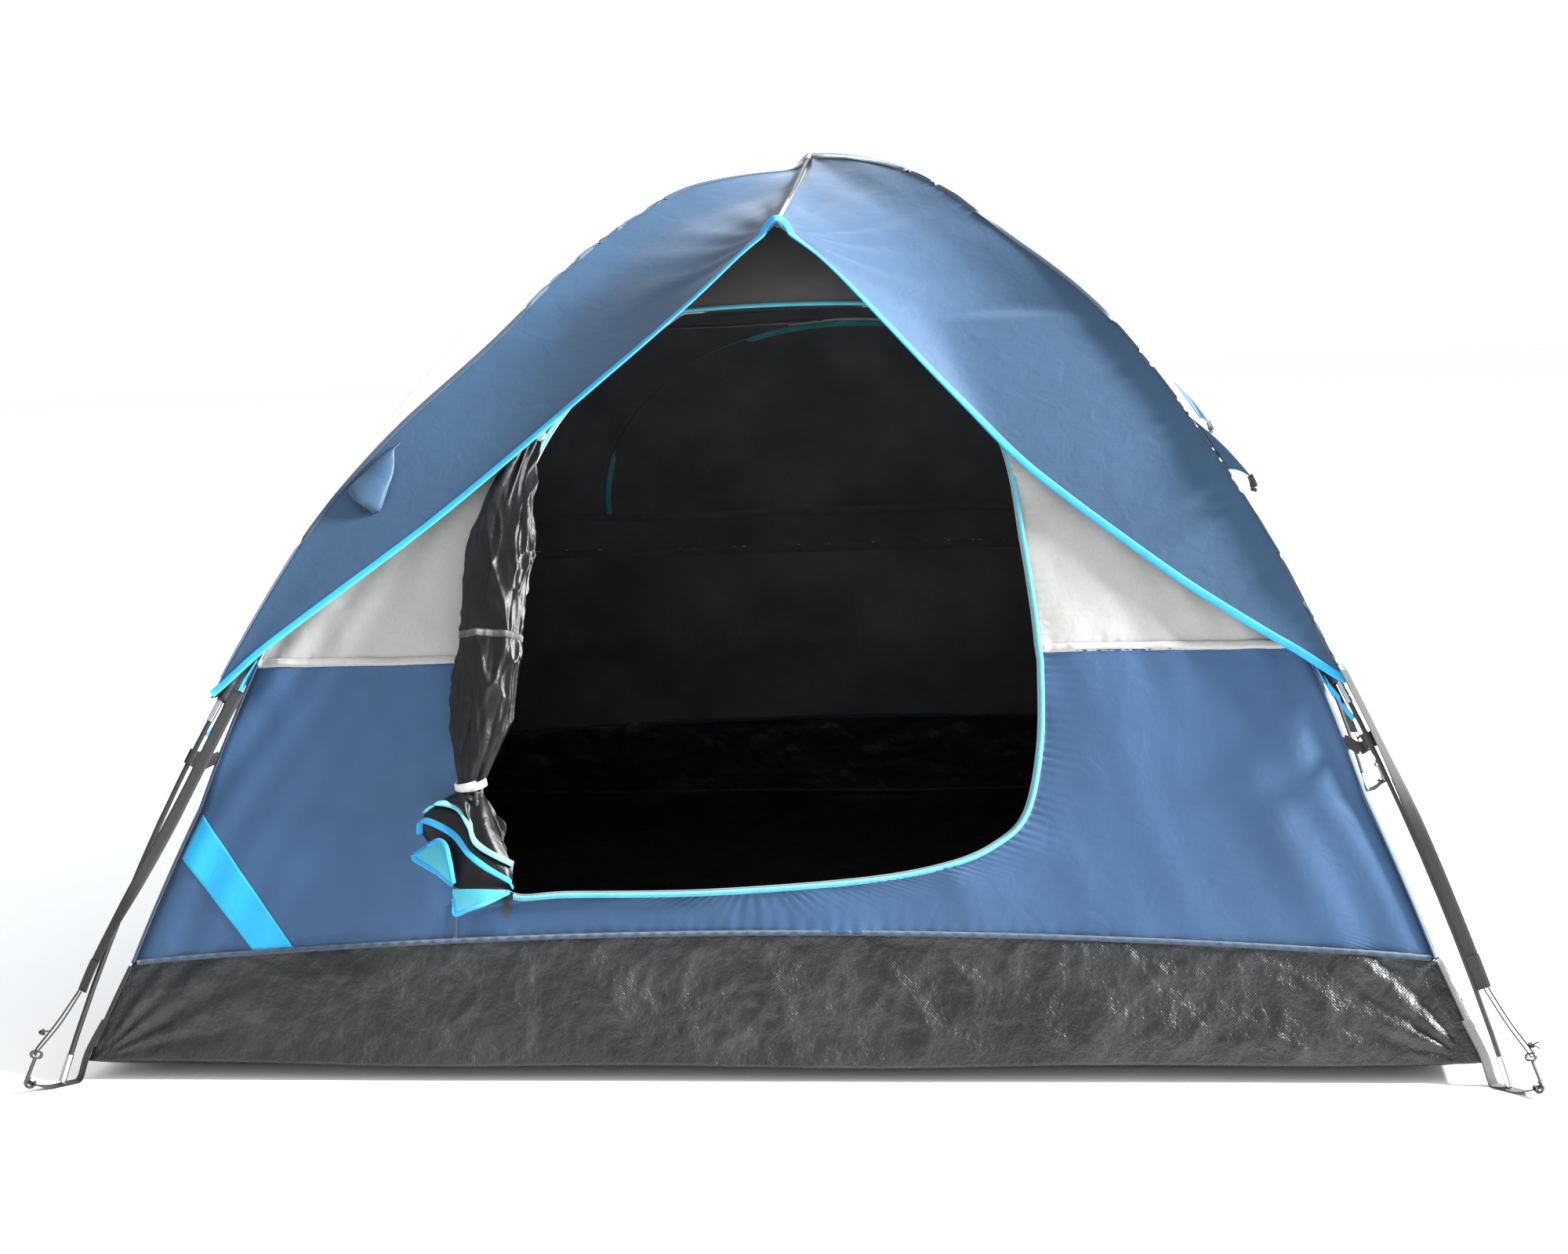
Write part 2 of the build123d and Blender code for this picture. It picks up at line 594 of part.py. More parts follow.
def build():
    nodes = {}
    for letter, angle in (("a", 45.0), ("b", -45.0)):
        for part, solids in zip(("sections", "ferrules", "tips", "shock_cord"), main_pole(LIFTS[letter])):
            add(nodes, f"pole_{letter}_{part}", [turned(s, angle) for s in solids])
    for part, solids in zip(("rods", "elbow", "end_caps", "shock_cord"), ridge_pole()):
        add(nodes, f"ridge_pole_{part}", solids)

    add(nodes, "tub_floor", tub())
    door = through(door_outline())
    lower, upper = wall_panel(TUB_TOP_Z, SEAM_Z), wall_panel(SEAM_Z, ROOF_Z)
    window = through(window_outline())
    for side, angle in SIDES.items():
        low = lower - door if side == "front" else lower
        high = upper
        if side == "front":
            high = upper - door
        if side == "rear":
            high = upper - window
        add(nodes, f"wall_{side}_lower", turned(low, angle))
        add(nodes, f"wall_{side}_upper", turned(high, angle))
    add(nodes, "roof_mesh", roof())
    add(nodes, "door_zip_piping", door_piping())
    flap, zip_arch = window_parts()
    add(nodes, "rear_window_panel", flap)
    add(nodes, "rear_window_zip", zip_arch)
    add(nodes, "rear_window_slider", window_slider())
    add(nodes, "door_roll", door_roll())
    add(nodes, "door_tie_band", door_tie())
    add(nodes, "door_toggle", door_toggle())
    add(nodes, "door_zip_slider", slider()[0])
    add(nodes, "door_zip_pull", pull_tab())

    side_panel = fly_side()
    add(nodes, "fly_side_left", turned(side_panel, -90))
    add(nodes, "fly_side_right", turned(side_panel, 90))
    wing = fly_wing()
    add(nodes, "fly_front_right", wing)
    add(nodes, "fly_front_left", mirror(wing, Plane.YZ))
    add(nodes, "fly_rear_right", mirror(wing, Plane.XZ))
    add(nodes, "fly_rear_left", turned(wing, 180))
    bands = brow_binding()
    add(nodes, "fly_front_binding", bands)
    add(nodes, "fly_rear_binding", [mirror(b, Plane.XZ) for b in bands])
    add(nodes, "fly_side_bindings", side_binding())

    straps, tabs, elastics, clip_straps = [], [], [], []
    for corner, angle in CORNERS.items():
        lift = LIFTS["a" if corner in ("front_left", "rear_right") else "b"]
        add(nodes, f"pole_sleeve_{corner}", [turned(s, angle) for s in pole_sleeve(lift)])
        add(nodes, f"corner_webbing_{corner}", turned(corner_webbing(), angle))
        add(nodes, f"fly_hook_{corner}", turned(hook(), angle))
        add(nodes, f"pole_clip_{corner}", turned(pole_clip(), angle))
        straps.append(turned(fly_strap(), angle))
        tabs.append(turned(guy_tab(), angle))
        elastics.append(turned(elastic(), angle))
        clip_straps.append(turned(clip_strap(), angle))
    add(nodes, "fly_corner_straps", straps)
    add(nodes, "fly_guy_tabs", tabs)
    add(nodes, "fly_elastic_loops", elastics)
    add(nodes, "clip_straps", clip_straps)
    return nodes


if __name__ == "__main__":
    os.makedirs("parts", exist_ok=True)
    for name, shape in build().items():
        export_step(shape, f"parts/{name}.step")
        print(name, len(shape.solids()), round(shape.volume))
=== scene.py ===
"""Looks of the two-wall dome tent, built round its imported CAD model. Metres, +Z up, the door faces -Y."""
import json
import math

import bpy
import numpy as np
from mathutils import Matrix, Vector


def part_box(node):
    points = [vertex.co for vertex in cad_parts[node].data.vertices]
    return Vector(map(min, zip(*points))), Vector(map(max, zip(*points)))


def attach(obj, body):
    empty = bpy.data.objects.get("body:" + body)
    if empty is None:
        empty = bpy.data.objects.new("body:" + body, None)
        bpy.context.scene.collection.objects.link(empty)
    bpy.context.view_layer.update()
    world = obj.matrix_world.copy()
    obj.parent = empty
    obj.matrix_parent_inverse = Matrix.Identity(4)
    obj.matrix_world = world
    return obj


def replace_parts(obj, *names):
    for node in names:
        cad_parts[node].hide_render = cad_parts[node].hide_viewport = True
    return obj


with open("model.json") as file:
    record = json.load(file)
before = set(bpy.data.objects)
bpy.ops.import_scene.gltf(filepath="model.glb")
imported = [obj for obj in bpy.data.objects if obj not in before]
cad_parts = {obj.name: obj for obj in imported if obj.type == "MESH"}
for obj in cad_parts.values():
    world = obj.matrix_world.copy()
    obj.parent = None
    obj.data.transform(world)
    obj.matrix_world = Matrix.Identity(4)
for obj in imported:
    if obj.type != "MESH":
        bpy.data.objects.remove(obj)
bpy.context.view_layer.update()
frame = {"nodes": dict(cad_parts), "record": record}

# ---------------------------------------------------------------- sizes, as in the CAD
FOOT = 1.075              # pole foot, distance from the centre along X and along Y
ARCH_TOP = 1.386
ARCH_POWER = 0.889
GAPS = [(0.0, 0.030), (0.024, 0.032), (0.172, 0.050), (0.390, 0.052), (0.606, 0.026), (1.5, 0.019)]
FLY_OUT = 0.017           # the fly's outer face, out from the pole centreline
PEAK_Y = 0.508
CLOTH = 0.0012
SQ2 = math.sqrt(2.0)

TUB_EDGE_Z = 0.024
TUB_TOP_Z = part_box("tub_floor")[1].z
SEAM_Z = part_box("wall_right_lower")[1].z
ROOF_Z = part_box("wall_right_upper")[1].z
UPPER_LOW_Z = SEAM_Z - 0.005
FLOOR_FLAT = 0.935         # half width of the flat part of the floor
FLOOR_Z = 0.0012
MIDDLE = np.array([0, 0, 0.35])
HEM_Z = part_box("fly_side_left")[0].z
FLY_TOP_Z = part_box("fly_front_right")[1].z
PEAK_Z = 1.269
SIDES = {"front": 0.0, "right": 90.0, "rear": 180.0, "left": -90.0}
CORNERS = {"front_right": -45.0, "front_left": -135.0, "rear_left": 135.0, "rear_right": 45.0}
DOOR_EDGE_LOW = [(-0.452, 0.606), (-0.452, 0.560), (-0.450, 0.400), (-0.436, 0.312), (-0.390, 0.260),
                 (-0.300, 0.2605), (-0.088, 0.262), (0.150, 0.277), (0.279, 0.298), (0.350, 0.326),
                 (0.397, 0.370), (0.419, 0.469), (0.421, 0.583), (0.418, 0.606)]
DOOR_EDGE_RIGHT = [(0.418, 0.606), (0.412, 0.661), (0.396, 0.760), (0.368, 0.898), (0.300, 1.024),
                   (0.170, 1.132)]
DOOR_EDGE_LEFT = [(-0.452, 0.606), (-0.436, 0.720), (-0.392, 0.900), (-0.310, 1.024), (-0.170, 1.132)]
WINDOW_HALF, WINDOW_Z, WINDOW_TOP = 0.560, 0.690, 1.094
DOOR_MIDDLE = np.array([-0.02, -0.8, 0.7])
PATCH_OUTLINE = ((-0.889, 0.382), (-0.916, 0.318), (-0.789, 0.181), (-0.726, 0.185))
STRAP_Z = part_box("fly_corner_straps")[0].z
TOGGLE_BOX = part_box("door_toggle")
TAB_SEWN_Z = (0.940, 0.862)            # heights between which the guying tabs are sewn to the fly
TAB_LEFT_OUTLINE = ((-0.603, -0.656, 0.938), (-0.611, -0.661, 0.930), (-0.676, -0.704, 0.872),
                    (-0.667, -0.713, 0.851), (-0.644, -0.722, 0.832), (-0.622, -0.719, 0.838))
SLEEVE_LOW_Z = 0.556
SLEEVE_AROUND = 28                     # points round a sleeve
FIN_POLE_Z, FIN_WALL_Z = (0.507, 1.02), (0.612, 1.05)
INNER_TAPE_GAP = 0.0042   # the inner tapes lie this far inside the wall's outer face
LAP = 0.0016              # how far the lower edge of the upper wall stands out over the lower wall
WALL_SEED = {"front": 11, "right": 31, "rear": 36, "left": 41}

# the rolled door: x, z, half width, half depth and distance out from the wall, from its top to its tie
ROLL_ROWS = [(-0.399, 0.932, 0.020, 0.006, 0.009), (-0.416, 0.870, 0.034, 0.013, 0.018),
             (-0.422, 0.790, 0.051, 0.021, 0.028), (-0.424, 0.700, 0.054, 0.026, 0.033),
             (-0.428, 0.630, 0.052, 0.027, 0.034), (-0.434, 0.560, 0.050, 0.026, 0.034),
             (-0.441, 0.500, 0.044, 0.024, 0.034), (-0.447, 0.450, 0.031, 0.021, 0.034),
             (-0.450, 0.418, 0.020, 0.017, 0.034), (-0.451, 0.402, 0.021, 0.017, 0.035)]
# the same for the cloth behind the folded hem, below the tie
CORE_ROWS = [(-0.451, 0.404, 0.020, 0.016, 0.034), (-0.448, 0.380, 0.034, 0.014, 0.034),
             (-0.440, 0.345, 0.046, 0.012, 0.034), (-0.428, 0.310, 0.040, 0.010, 0.034),
             (-0.418, 0.285, 0.028, 0.008, 0.034)]
ROLL_SEAM_Z = 0.628
ROLL_ANGLES = np.linspace(0, 2 * math.pi, 150, endpoint=False)
# edges of the folded hem: x, distance out from the wall, z
HEM_LINES = {
    "first": [(-0.520, 0.042, 0.374), (-0.497, 0.050, 0.384), (-0.464, 0.056, 0.376), (-0.445, 0.062, 0.353),
              (-0.431, 0.064, 0.326), (-0.398, 0.060, 0.307), (-0.377, 0.046, 0.298)],
    "second": [(-0.529, 0.030, 0.346), (-0.524, 0.044, 0.360), (-0.505, 0.052, 0.357), (-0.467, 0.058, 0.338),
               (-0.441, 0.064, 0.311), (-0.416, 0.064, 0.293), (-0.383, 0.052, 0.276), (-0.377, 0.040, 0.268)],
    "skirt": [(-0.506, 0.040, 0.322), (-0.490, 0.050, 0.303), (-0.467, 0.056, 0.268), (-0.430, 0.060, 0.262),
              (-0.400, 0.056, 0.262), (-0.379, 0.042, 0.264)],
    "flap_out": [(-0.512, 0.048, 0.322), (-0.532, 0.046, 0.310), (-0.514, 0.052, 0.298), (-0.491, 0.058, 0.286),
                 (-0.465, 0.060, 0.268)],
    "flap_in": [(-0.510, 0.052, 0.324), (-0.492, 0.060, 0.330), (-0.478, 0.066, 0.322), (-0.470, 0.068, 0.300),
                (-0.463, 0.064, 0.270)],
    "tail_top": [(-0.465, 0.062, 0.262), (-0.440, 0.064, 0.262), (-0.410, 0.060, 0.262),
                 (-0.381, 0.046, 0.262)],
    "tail_low": [(-0.464, 0.056, 0.250), (-0.461, 0.054, 0.229), (-0.440, 0.056, 0.235), (-0.414, 0.056, 0.243),
                 (-0.381, 0.046, 0.260)],
}


# ---------------------------------------------------------------- the vault
def arch(t, out=0.0):
    """(u, z) of the arch in its diagonal plane for an array t, moved outwards by out."""
    t = np.clip(np.asarray(t, float), 0.0, 0.9999)
    u = FOOT * SQ2 * t
    z = ARCH_TOP * (1 - t * t) ** ARCH_POWER
    slope = -2 * t * ARCH_TOP * ARCH_POWER * (1 - t * t) ** (ARCH_POWER - 1) / (FOOT * SQ2)
    scale = out / np.hypot(slope, 1)
    return u - slope * scale, z + scale


ARCH_T = 1 - np.linspace(1, 0, 1500) ** 2


def arch_t(z, out=0.0):
    return np.interp(-np.asarray(z, float), -arch(ARCH_T, out)[1], ARCH_T)


def arch_u(z, out=0.0):
    """Distance from the axis of the arch at height z, for one offset or one offset to each height."""
    if np.ndim(out):
        return np.array([arch_u(a, float(b)) for a, b in zip(z, out)])
    u, height = arch(ARCH_T, out)
    return np.interp(-np.asarray(z, float), -height, u)


TABLE_Z = np.linspace(0.0, 1.36, 400)
TABLE_X = np.array([float(arch_u(z, -np.interp(z, *zip(*GAPS)))) / SQ2 for z in TABLE_Z])


def wall_x(z):
    """Half width of the inner tent at height z."""
    return np.interp(z, TABLE_Z, TABLE_X)


# ---------------------------------------------------------------- numbers and curves
def lattice(ix, iy, seed):
    h = np.sin(ix * 127.1 + iy * 311.7 + seed * 74.7) * 43758.5453
    return h - np.floor(h)


def noise(x, y, seed=0.0):
    """Smooth value noise from -1 to 1 with unit cells."""
    x, y = np.broadcast_arrays(np.asarray(x, float), np.asarray(y, float))
    ix, iy = np.floor(x), np.floor(y)
    fx, fy = x - ix, y - iy
    fx, fy = fx * fx * (3 - 2 * fx), fy * fy * (3 - 2 * fy)
    low = lattice(ix, iy, seed) * (1 - fx) + lattice(ix + 1, iy, seed) * fx
    high = lattice(ix, iy + 1, seed) * (1 - fx) + lattice(ix + 1, iy + 1, seed) * fx
    return 2 * (low * (1 - fy) + high * fy) - 1


def creases(x, y, seed=0.0, octaves=3):
    """Sharp-ridged noise from 0 to 1: the folds of a stiff crumpled sheet."""
    total, weight = 0.0, 0.0
    for k in range(octaves):
        angle = 0.7 + 1.9 * k + seed
        a = x * math.cos(angle) + y * math.sin(angle)
        b = y * math.cos(angle) - x * math.sin(angle)
        total = total + (1 - np.abs(noise(a * 1.9 ** k, b * 1.9 ** k, seed + 5 * k))) ** 2.5 / 1.7 ** k
        weight += 1 / 1.7 ** k
    return total / weight


def smooth(x, low, high):
    t = np.clip((np.asarray(x, float) - low) / (high - low), 0, 1)
    return t * t * (3 - 2 * t)


def resample(points, count):
    """count points evenly spaced along a run of points."""
    points = np.asarray(points, float)
    reached = np.r_[0, np.cumsum(np.linalg.norm(np.diff(points, axis=0), axis=1))]
    at = np.linspace(0, reached[-1], count)
    return np.stack([np.interp(at, reached, points[:, k]) for k in range(points.shape[1])], 1)


def curve(points, count):
    """A Catmull-Rom curve through the points, count points evenly spaced."""
    p = np.asarray(points, float)
    p = np.vstack([2 * p[0] - p[1], p, 2 * p[-1] - p[-2]])
    out = []
    for a, b, c, d in zip(p, p[1:], p[2:], p[3:]):
        t = np.linspace(0, 1, 24, endpoint=False)[:, None]
        bend = (2 * a - 5 * b + 4 * c - d) * t ** 2 + (3 * b - a - 3 * c + d) * t ** 3
        out.append(0.5 * (2 * b + (c - a) * t + bend))
    out.append(p[-2:-1])
    return resample(np.vstack(out), count)


def turned(points, degrees):
    a = math.radians(degrees)
    spin = np.array([[math.cos(a), -math.sin(a), 0], [math.sin(a), math.cos(a), 0], [0, 0, 1]])
    return points @ spin.T


def unit(v):
    return v / np.maximum(np.linalg.norm(v, axis=-1, keepdims=True), 1e-9)


# ---------------------------------------------------------------- meshes
def grid_faces(rows, columns, start=0, wrap=False):
    index = np.arange(rows * columns).reshape(rows, columns) + start
    if wrap:
        index = np.hstack([index, index[:, :1]])
    a, b, c, d = index[:-1, :-1], index[:-1, 1:], index[1:, 1:], index[1:, :-1]
    return np.stack([a, b, c, d], -1).reshape(-1, 4)


def make_object(name, vertices, faces, uvs, materials, body):
    """A mesh with the named materials, on a body of the part."""
    mesh = bpy.data.meshes.new(name)
    mesh.from_pydata([tuple(v) for v in vertices], [], [tuple(int(i) for i in f) for f in faces])
    layer = mesh.uv_layers.new(name="UVMap")
    loops = np.zeros(len(mesh.loops), np.int32)
    mesh.loops.foreach_get("vertex_index", loops)
    layer.data.foreach_set("uv", np.asarray(uvs, float)[loops].astype(np.float32).ravel())
    mesh.polygons.foreach_set("use_smooth", [True] * len(mesh.polygons))
    for key in materials:
        mesh.materials.append(M[key])
    o = bpy.data.objects.new(name, mesh)
    bpy.context.scene.collection.objects.link(o)
    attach(o, body)
    return o


def plane_uv(p):
    """Lengths of a grid measured on its mean plane, in metres."""
    across = unit(np.gradient(p, axis=1).reshape(-1, 3).mean(0))
    along = np.gradient(p, axis=0).reshape(-1, 3).mean(0)
    along = unit(along - across * (along @ across))
    return np.stack([p @ across, p @ along], -1)


def cloth(name, grids, outer, inner, body="tent", thick=CLOTH, wrap=False):
    """One sheet of cloth from grids of points that share borders, with an outer and an inner face."""
    vertices, faces, uvs, start = [], [], [], 0
    for p in grids:
        rows, columns = p.shape[:2]
        f = grid_faces(rows, columns, start, wrap)
        n = np.cross(np.gradient(p, axis=0), np.gradient(p, axis=1)).reshape(-1, 3)
        if (n * (p.reshape(-1, 3) - MIDDLE)).sum() > 0:
            f = f[:, ::-1]
        vertices.append(p.reshape(-1, 3))
        uvs.append(plane_uv(p).reshape(-1, 2))
        faces.append(f)
        start += rows * columns
    o = make_object(name, np.vstack(vertices), np.vstack(faces), np.vstack(uvs), [outer, inner], body)
    weld = o.modifiers.new("weld", "WELD")
    weld.merge_threshold = 0.0002
    solid = o.modifiers.new("solid", "SOLIDIFY")
    solid.thickness = thick
    solid.offset = -1.0
    solid.material_offset = 1
    solid.use_even_offset = False
    return o


def loft(name, rings, materials, body="tent", closed_path=False):
    """A closed skin through rings of points (path, around, xyz)."""
    rows, columns = rings.shape[:2]
    faces = [tuple(f) for f in grid_faces(rows, columns, 0, wrap=True)]
    if closed_path:
        last = np.arange(columns) + (rows - 1) * columns
        first = np.arange(columns)
        faces += [tuple(f) for f in np.stack([last, np.roll(last, -1), np.roll(first, -1), first], -1)]
    else:
        faces.append(tuple(range(columns)))
        faces.append(tuple((rows - 1) * columns + i for i in reversed(range(columns))))
    centres = rings.mean(1)
    run = np.r_[0, np.cumsum(np.linalg.norm(np.diff(centres, axis=0), axis=1))]
    around = np.r_[0, np.cumsum(np.linalg.norm(np.diff(rings[rows // 2], axis=0), axis=1))]
    uv = np.stack(np.broadcast_arrays(run[:, None], around[None, :]), -1).reshape(-1, 2)
    return make_object(name, rings.reshape(-1, 3), [f[::-1] for f in faces], uv, materials, body)


def along_path(points, closed=False):
    if closed:
        return unit(np.roll(points, -1, 0) - np.roll(points, 1, 0))
    return unit(np.gradient(points, axis=0))


def ribbon_rings(points, up, width, thick, closed=False, bow=0.0):
    """Rounded flat cross-sections along points; up is the broad face's direction at each point."""
    tangent = along_path(points, closed)
    up = np.broadcast_to(up, points.shape)
    side = unit(np.cross(tangent, up))
    up = unit(np.cross(side, tangent))
    width = np.broadcast_to(np.asarray(width, float), (len(points),))[:, None, None]
    w = np.array([-0.5, -0.47, -0.30, 0.0, 0.30, 0.47, 0.5, 0.47, 0.30, 0.0, -0.30, -0.47])
    h = np.array([0, 0.36, 0.5, 0.5, 0.5, 0.36, 0, -0.36, -0.5, -0.5, -0.5, -0.36]) * thick
    h = h + bow * (0.25 - w * w)
    return points[:, None, :] + side[:, None, :] * w[None, :, None] * width + up[:, None, :] * h[None, :, None]


def ribbon(name, points, up, width, thick, material, body="tent", closed=False, bow=0.0):
    return loft(name, ribbon_rings(points, up, width, thick, closed, bow), [material], body, closed)


def tube_rings(points, radius, sides=10, closed=False):
    tangent = along_path(points, closed)
    helper = np.where(np.abs(tangent[:, 2:3]) > 0.9, [[1.0, 0, 0]], [[0, 0, 1.0]])
    a = unit(np.cross(tangent, helper))
    for i in range(1, len(a)):
        a[i] = a[i - 1] - tangent[i] * (a[i - 1] @ tangent[i])
        a[i] /= max(np.linalg.norm(a[i]), 1e-9)
    b = np.cross(tangent, a)
    angle = np.linspace(0, 2 * math.pi, sides, endpoint=False)
    radius = np.broadcast_to(np.asarray(radius, float), (len(points),))[:, None, None]
    ring = a[:, None, :] * np.cos(angle)[None, :, None] + b[:, None, :] * np.sin(angle)[None, :, None]
    return points[:, None, :] + ring * radius


def joined(name, parts, body="tent"):
    """Several made pieces as one object that keeps its faces' materials."""
    bpy.ops.object.select_all(action="DESELECT")
    for o in parts:
        for m in list(o.modifiers):
            bpy.context.view_layer.objects.active = o
            bpy.ops.object.modifier_apply(modifier=m.name)
        o.select_set(True)
    bpy.context.view_layer.objects.active = parts[0]
    bpy.ops.object.join()
    o = parts[0]
    o.name = name
    o.data.name = name
    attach(o, body)
    return o


# ---------------------------------------------------------------- materials
class Nodes:
    """A new material with short ways to add and join its nodes. Each way returns a node's output."""

    def __init__(self, name):
        self.material = bpy.data.materials.new(name)
        self.material.use_nodes = True
        self.tree = self.material.node_tree
        self.shader = self.tree.nodes["Principled BSDF"]
        where = self.tree.nodes.new("ShaderNodeTexCoord")
        self.uv, self.place = where.outputs["UV"], where.outputs["Object"]

    def feed(self, socket, value):
        """Join an output to the socket, or set the socket's own value."""
        if isinstance(value, bpy.types.NodeSocket):
            self.tree.links.new(value, socket)
        else:
            socket.default_value = value

    def node(self, kind, inputs, output=0, **settings):
        made = self.tree.nodes.new("ShaderNode" + kind)
        for key, value in settings.items():
            setattr(made, key, value)
        for key, value in inputs.items():
            self.feed(made.inputs[key], value)
        return made.outputs[output]

    def math(self, operation, *values):
        return self.node("Math", dict(enumerate(values)), operation=operation)

    def noise(self, scale, detail, roughness=0.5, distortion=0.0, vector=None):
        inputs = {"Vector": vector or self.place, "Scale": scale, "Detail": detail, "Roughness": roughness,
                  "Distortion": distortion}
        return self.node("TexNoise", inputs, "Fac")

    def ramp(self, value, low, high, dark, light):
        made = self.tree.nodes.new("ShaderNodeValToRGB")
        for element, at, colour in zip(made.color_ramp.elements, (low, high), (dark, light)):
            element.position = at
            element.color = (*colour, 1)
        self.feed(made.inputs[0], value)
        return made.outputs[0]

    def spread(self, value, low, high, start=0.0):
        """The value's run from start to 1, mapped on low to high."""
        return self.node("MapRange", {"Value": value, "From Min": start, "To Min": low, "To Max": high})

    def stretched(self, vector, scale):
        return self.node("Mapping", {"Vector": vector, "Scale": scale})

    def mix(self, share, a, b, blend="MIX"):
        return self.node("Mix", {0: share, 6: a, 7: b}, 2, data_type="RGBA", blend_type=blend)

    def bump(self, height, distance, under=None):
        inputs = {"Strength": 1.0, "Distance": distance, "Height": height}
        return self.node("Bump", inputs | ({"Normal": under} if under else {}))

    def lengths(self):
        """The UV map's two lengths in metres."""
        return [self.node("SeparateXYZ", {0: self.uv}, axis) for axis in ("X", "Y")]

    def wave(self, length, period):
        return self.math("SINE", self.math("MULTIPLY", length, 2 * math.pi / period))

    def weave(self, period):
        """Height of a plain weave: crossed waves over the sheet's own lengths."""
        return self.math("MULTIPLY", *[self.wave(length, period) for length in self.lengths()])

    def finish(self, **inputs):
        """Set or join the shader's inputs, whose names have an underscore for each space."""
        for key, value in inputs.items():
            self.feed(self.shader.inputs[key.replace("_", " ")], value)
        return self.material


def tones(colour, less, more):
    """A darker and a lighter tone of a colour."""
    return tuple(c * (1 - less) for c in colour), tuple(min(1.0, c * (1 + more)) for c in colour)


def fabric(name, colour, variation=0.10, rough=0.62, sheen=0.25, crumple=0.001, coat=0.0, specular=0.4,
           soil=0.0, crumple_scale=28.0):
    """Woven polyester: a plain weave over UV metres, broad tone changes, fine slubs and small crumples."""
    m = Nodes(name)
    broad = m.noise(5.0, 5.0, 0.55)
    slub = m.noise(1.0, 2.0, vector=m.stretched(m.uv, (900.0, 90.0, 90.0)))
    base = m.ramp(broad, 0.3, 0.7, *tones(colour, variation, variation))
    base = m.mix(0.35, base, m.ramp(slub, 0.3, 0.7, (0.72,) * 3, (1.0,) * 3), "MULTIPLY")
    if soil:
        spots = m.ramp(m.noise(11.0, 8.0, 0.7), 0.52, 0.75, (1.0,) * 3, (1 - soil,) * 3)
        base = m.mix(1.0, base, spots, "MULTIPLY")
    gloss = m.spread(broad, max(0.05, rough - 0.07), min(1.0, rough + 0.07))
    folds = m.noise(crumple_scale, 4.0, 0.5, 0.6)
    normal = m.bump(folds, crumple, m.bump(m.weave(0.0016), 0.00006))
    return m.finish(Base_Color=base, Roughness=gloss, Specular_IOR_Level=specular, Sheen_Weight=sheen,
                    Sheen_Roughness=0.45, Sheen_Tint=(0.8, 0.85, 1.0, 1), Coat_Weight=coat, Coat_Roughness=0.25,
                    Normal=normal)


def tarpaulin(name):
    """Woven polyethylene sheet: flat tapes under a glossy film, uneven in tone and crinkled."""
    m = Nodes(name)
    broad = m.noise(7.0, 7.0, 0.62, 0.4)
    base = m.ramp(broad, 0.32, 0.72, (0.006, 0.0062, 0.0066), (0.022, 0.0225, 0.0235))
    normal = m.bump(m.noise(26.0, 5.0, 0.6), 0.009, m.bump(m.weave(0.0044), 0.00016))
    gloss = m.spread(m.noise(14.0, 3.0), 0.30, 0.52)
    return m.finish(Base_Color=base, Roughness=gloss, Specular_IOR_Level=0.34, Normal=normal)


def netting(name, colour, open_share):
    """No-see-um mesh: dark threads with part of the light going through."""
    m = Nodes(name)
    height = m.weave(0.0030)
    holes = m.spread(height, 1 - open_share * 1.5, 1 - open_share * 0.5, start=-1.0)
    return m.finish(Base_Color=m.ramp(m.noise(9.0, 5.0), 0.3, 0.7, *tones(colour, 0.18, 0.15)), Roughness=0.75,
                    Sheen_Weight=0.4, Alpha=holes, Normal=m.bump(height, 0.0002))


def tape(name, colour, rib=0.0012, rough=0.55, stitch=None, stitch_at=0.004, sheen=0.2, depth=0.00018):
    """Woven tape or webbing: ribs across its length, and a line of stitches when asked for."""
    m = Nodes(name)
    along, across = m.lengths()
    base = m.ramp(m.noise(35.0, 6.0, 0.6), 0.3, 0.72, *tones(colour, 0.14, 0.14))
    if stitch:
        on = m.math("GREATER_THAN", m.wave(along, 0.0042), -0.35)
        near = m.math("LESS_THAN", m.math("ABSOLUTE", m.math("SUBTRACT", across, stitch_at)), 0.0006)
        base = m.mix(m.math("MULTIPLY", on, near), base, (*stitch, 1))
    ribs = m.bump(m.wave(along, rib), depth)
    return m.finish(Base_Color=base, Roughness=rough, Sheen_Weight=sheen, Normal=ribs)


def hard(name, colour, metallic=0.0, rough=0.4, grain=300.0, depth=0.00005, variation=0.15):
    """Metal, fibreglass or moulded plastic with a fine grain and small changes of tone and gloss."""
    m = Nodes(name)
    cloudy = m.noise(24.0, 6.0, 0.65)
    return m.finish(Base_Color=m.ramp(cloudy, 0.3, 0.7, *tones(colour, variation, variation)),
                    Roughness=m.spread(cloudy, max(0.04, rough - 0.1), min(1.0, rough + 0.12)),
                    Metallic=metallic, Normal=m.bump(m.noise(grain, 4.0), depth))


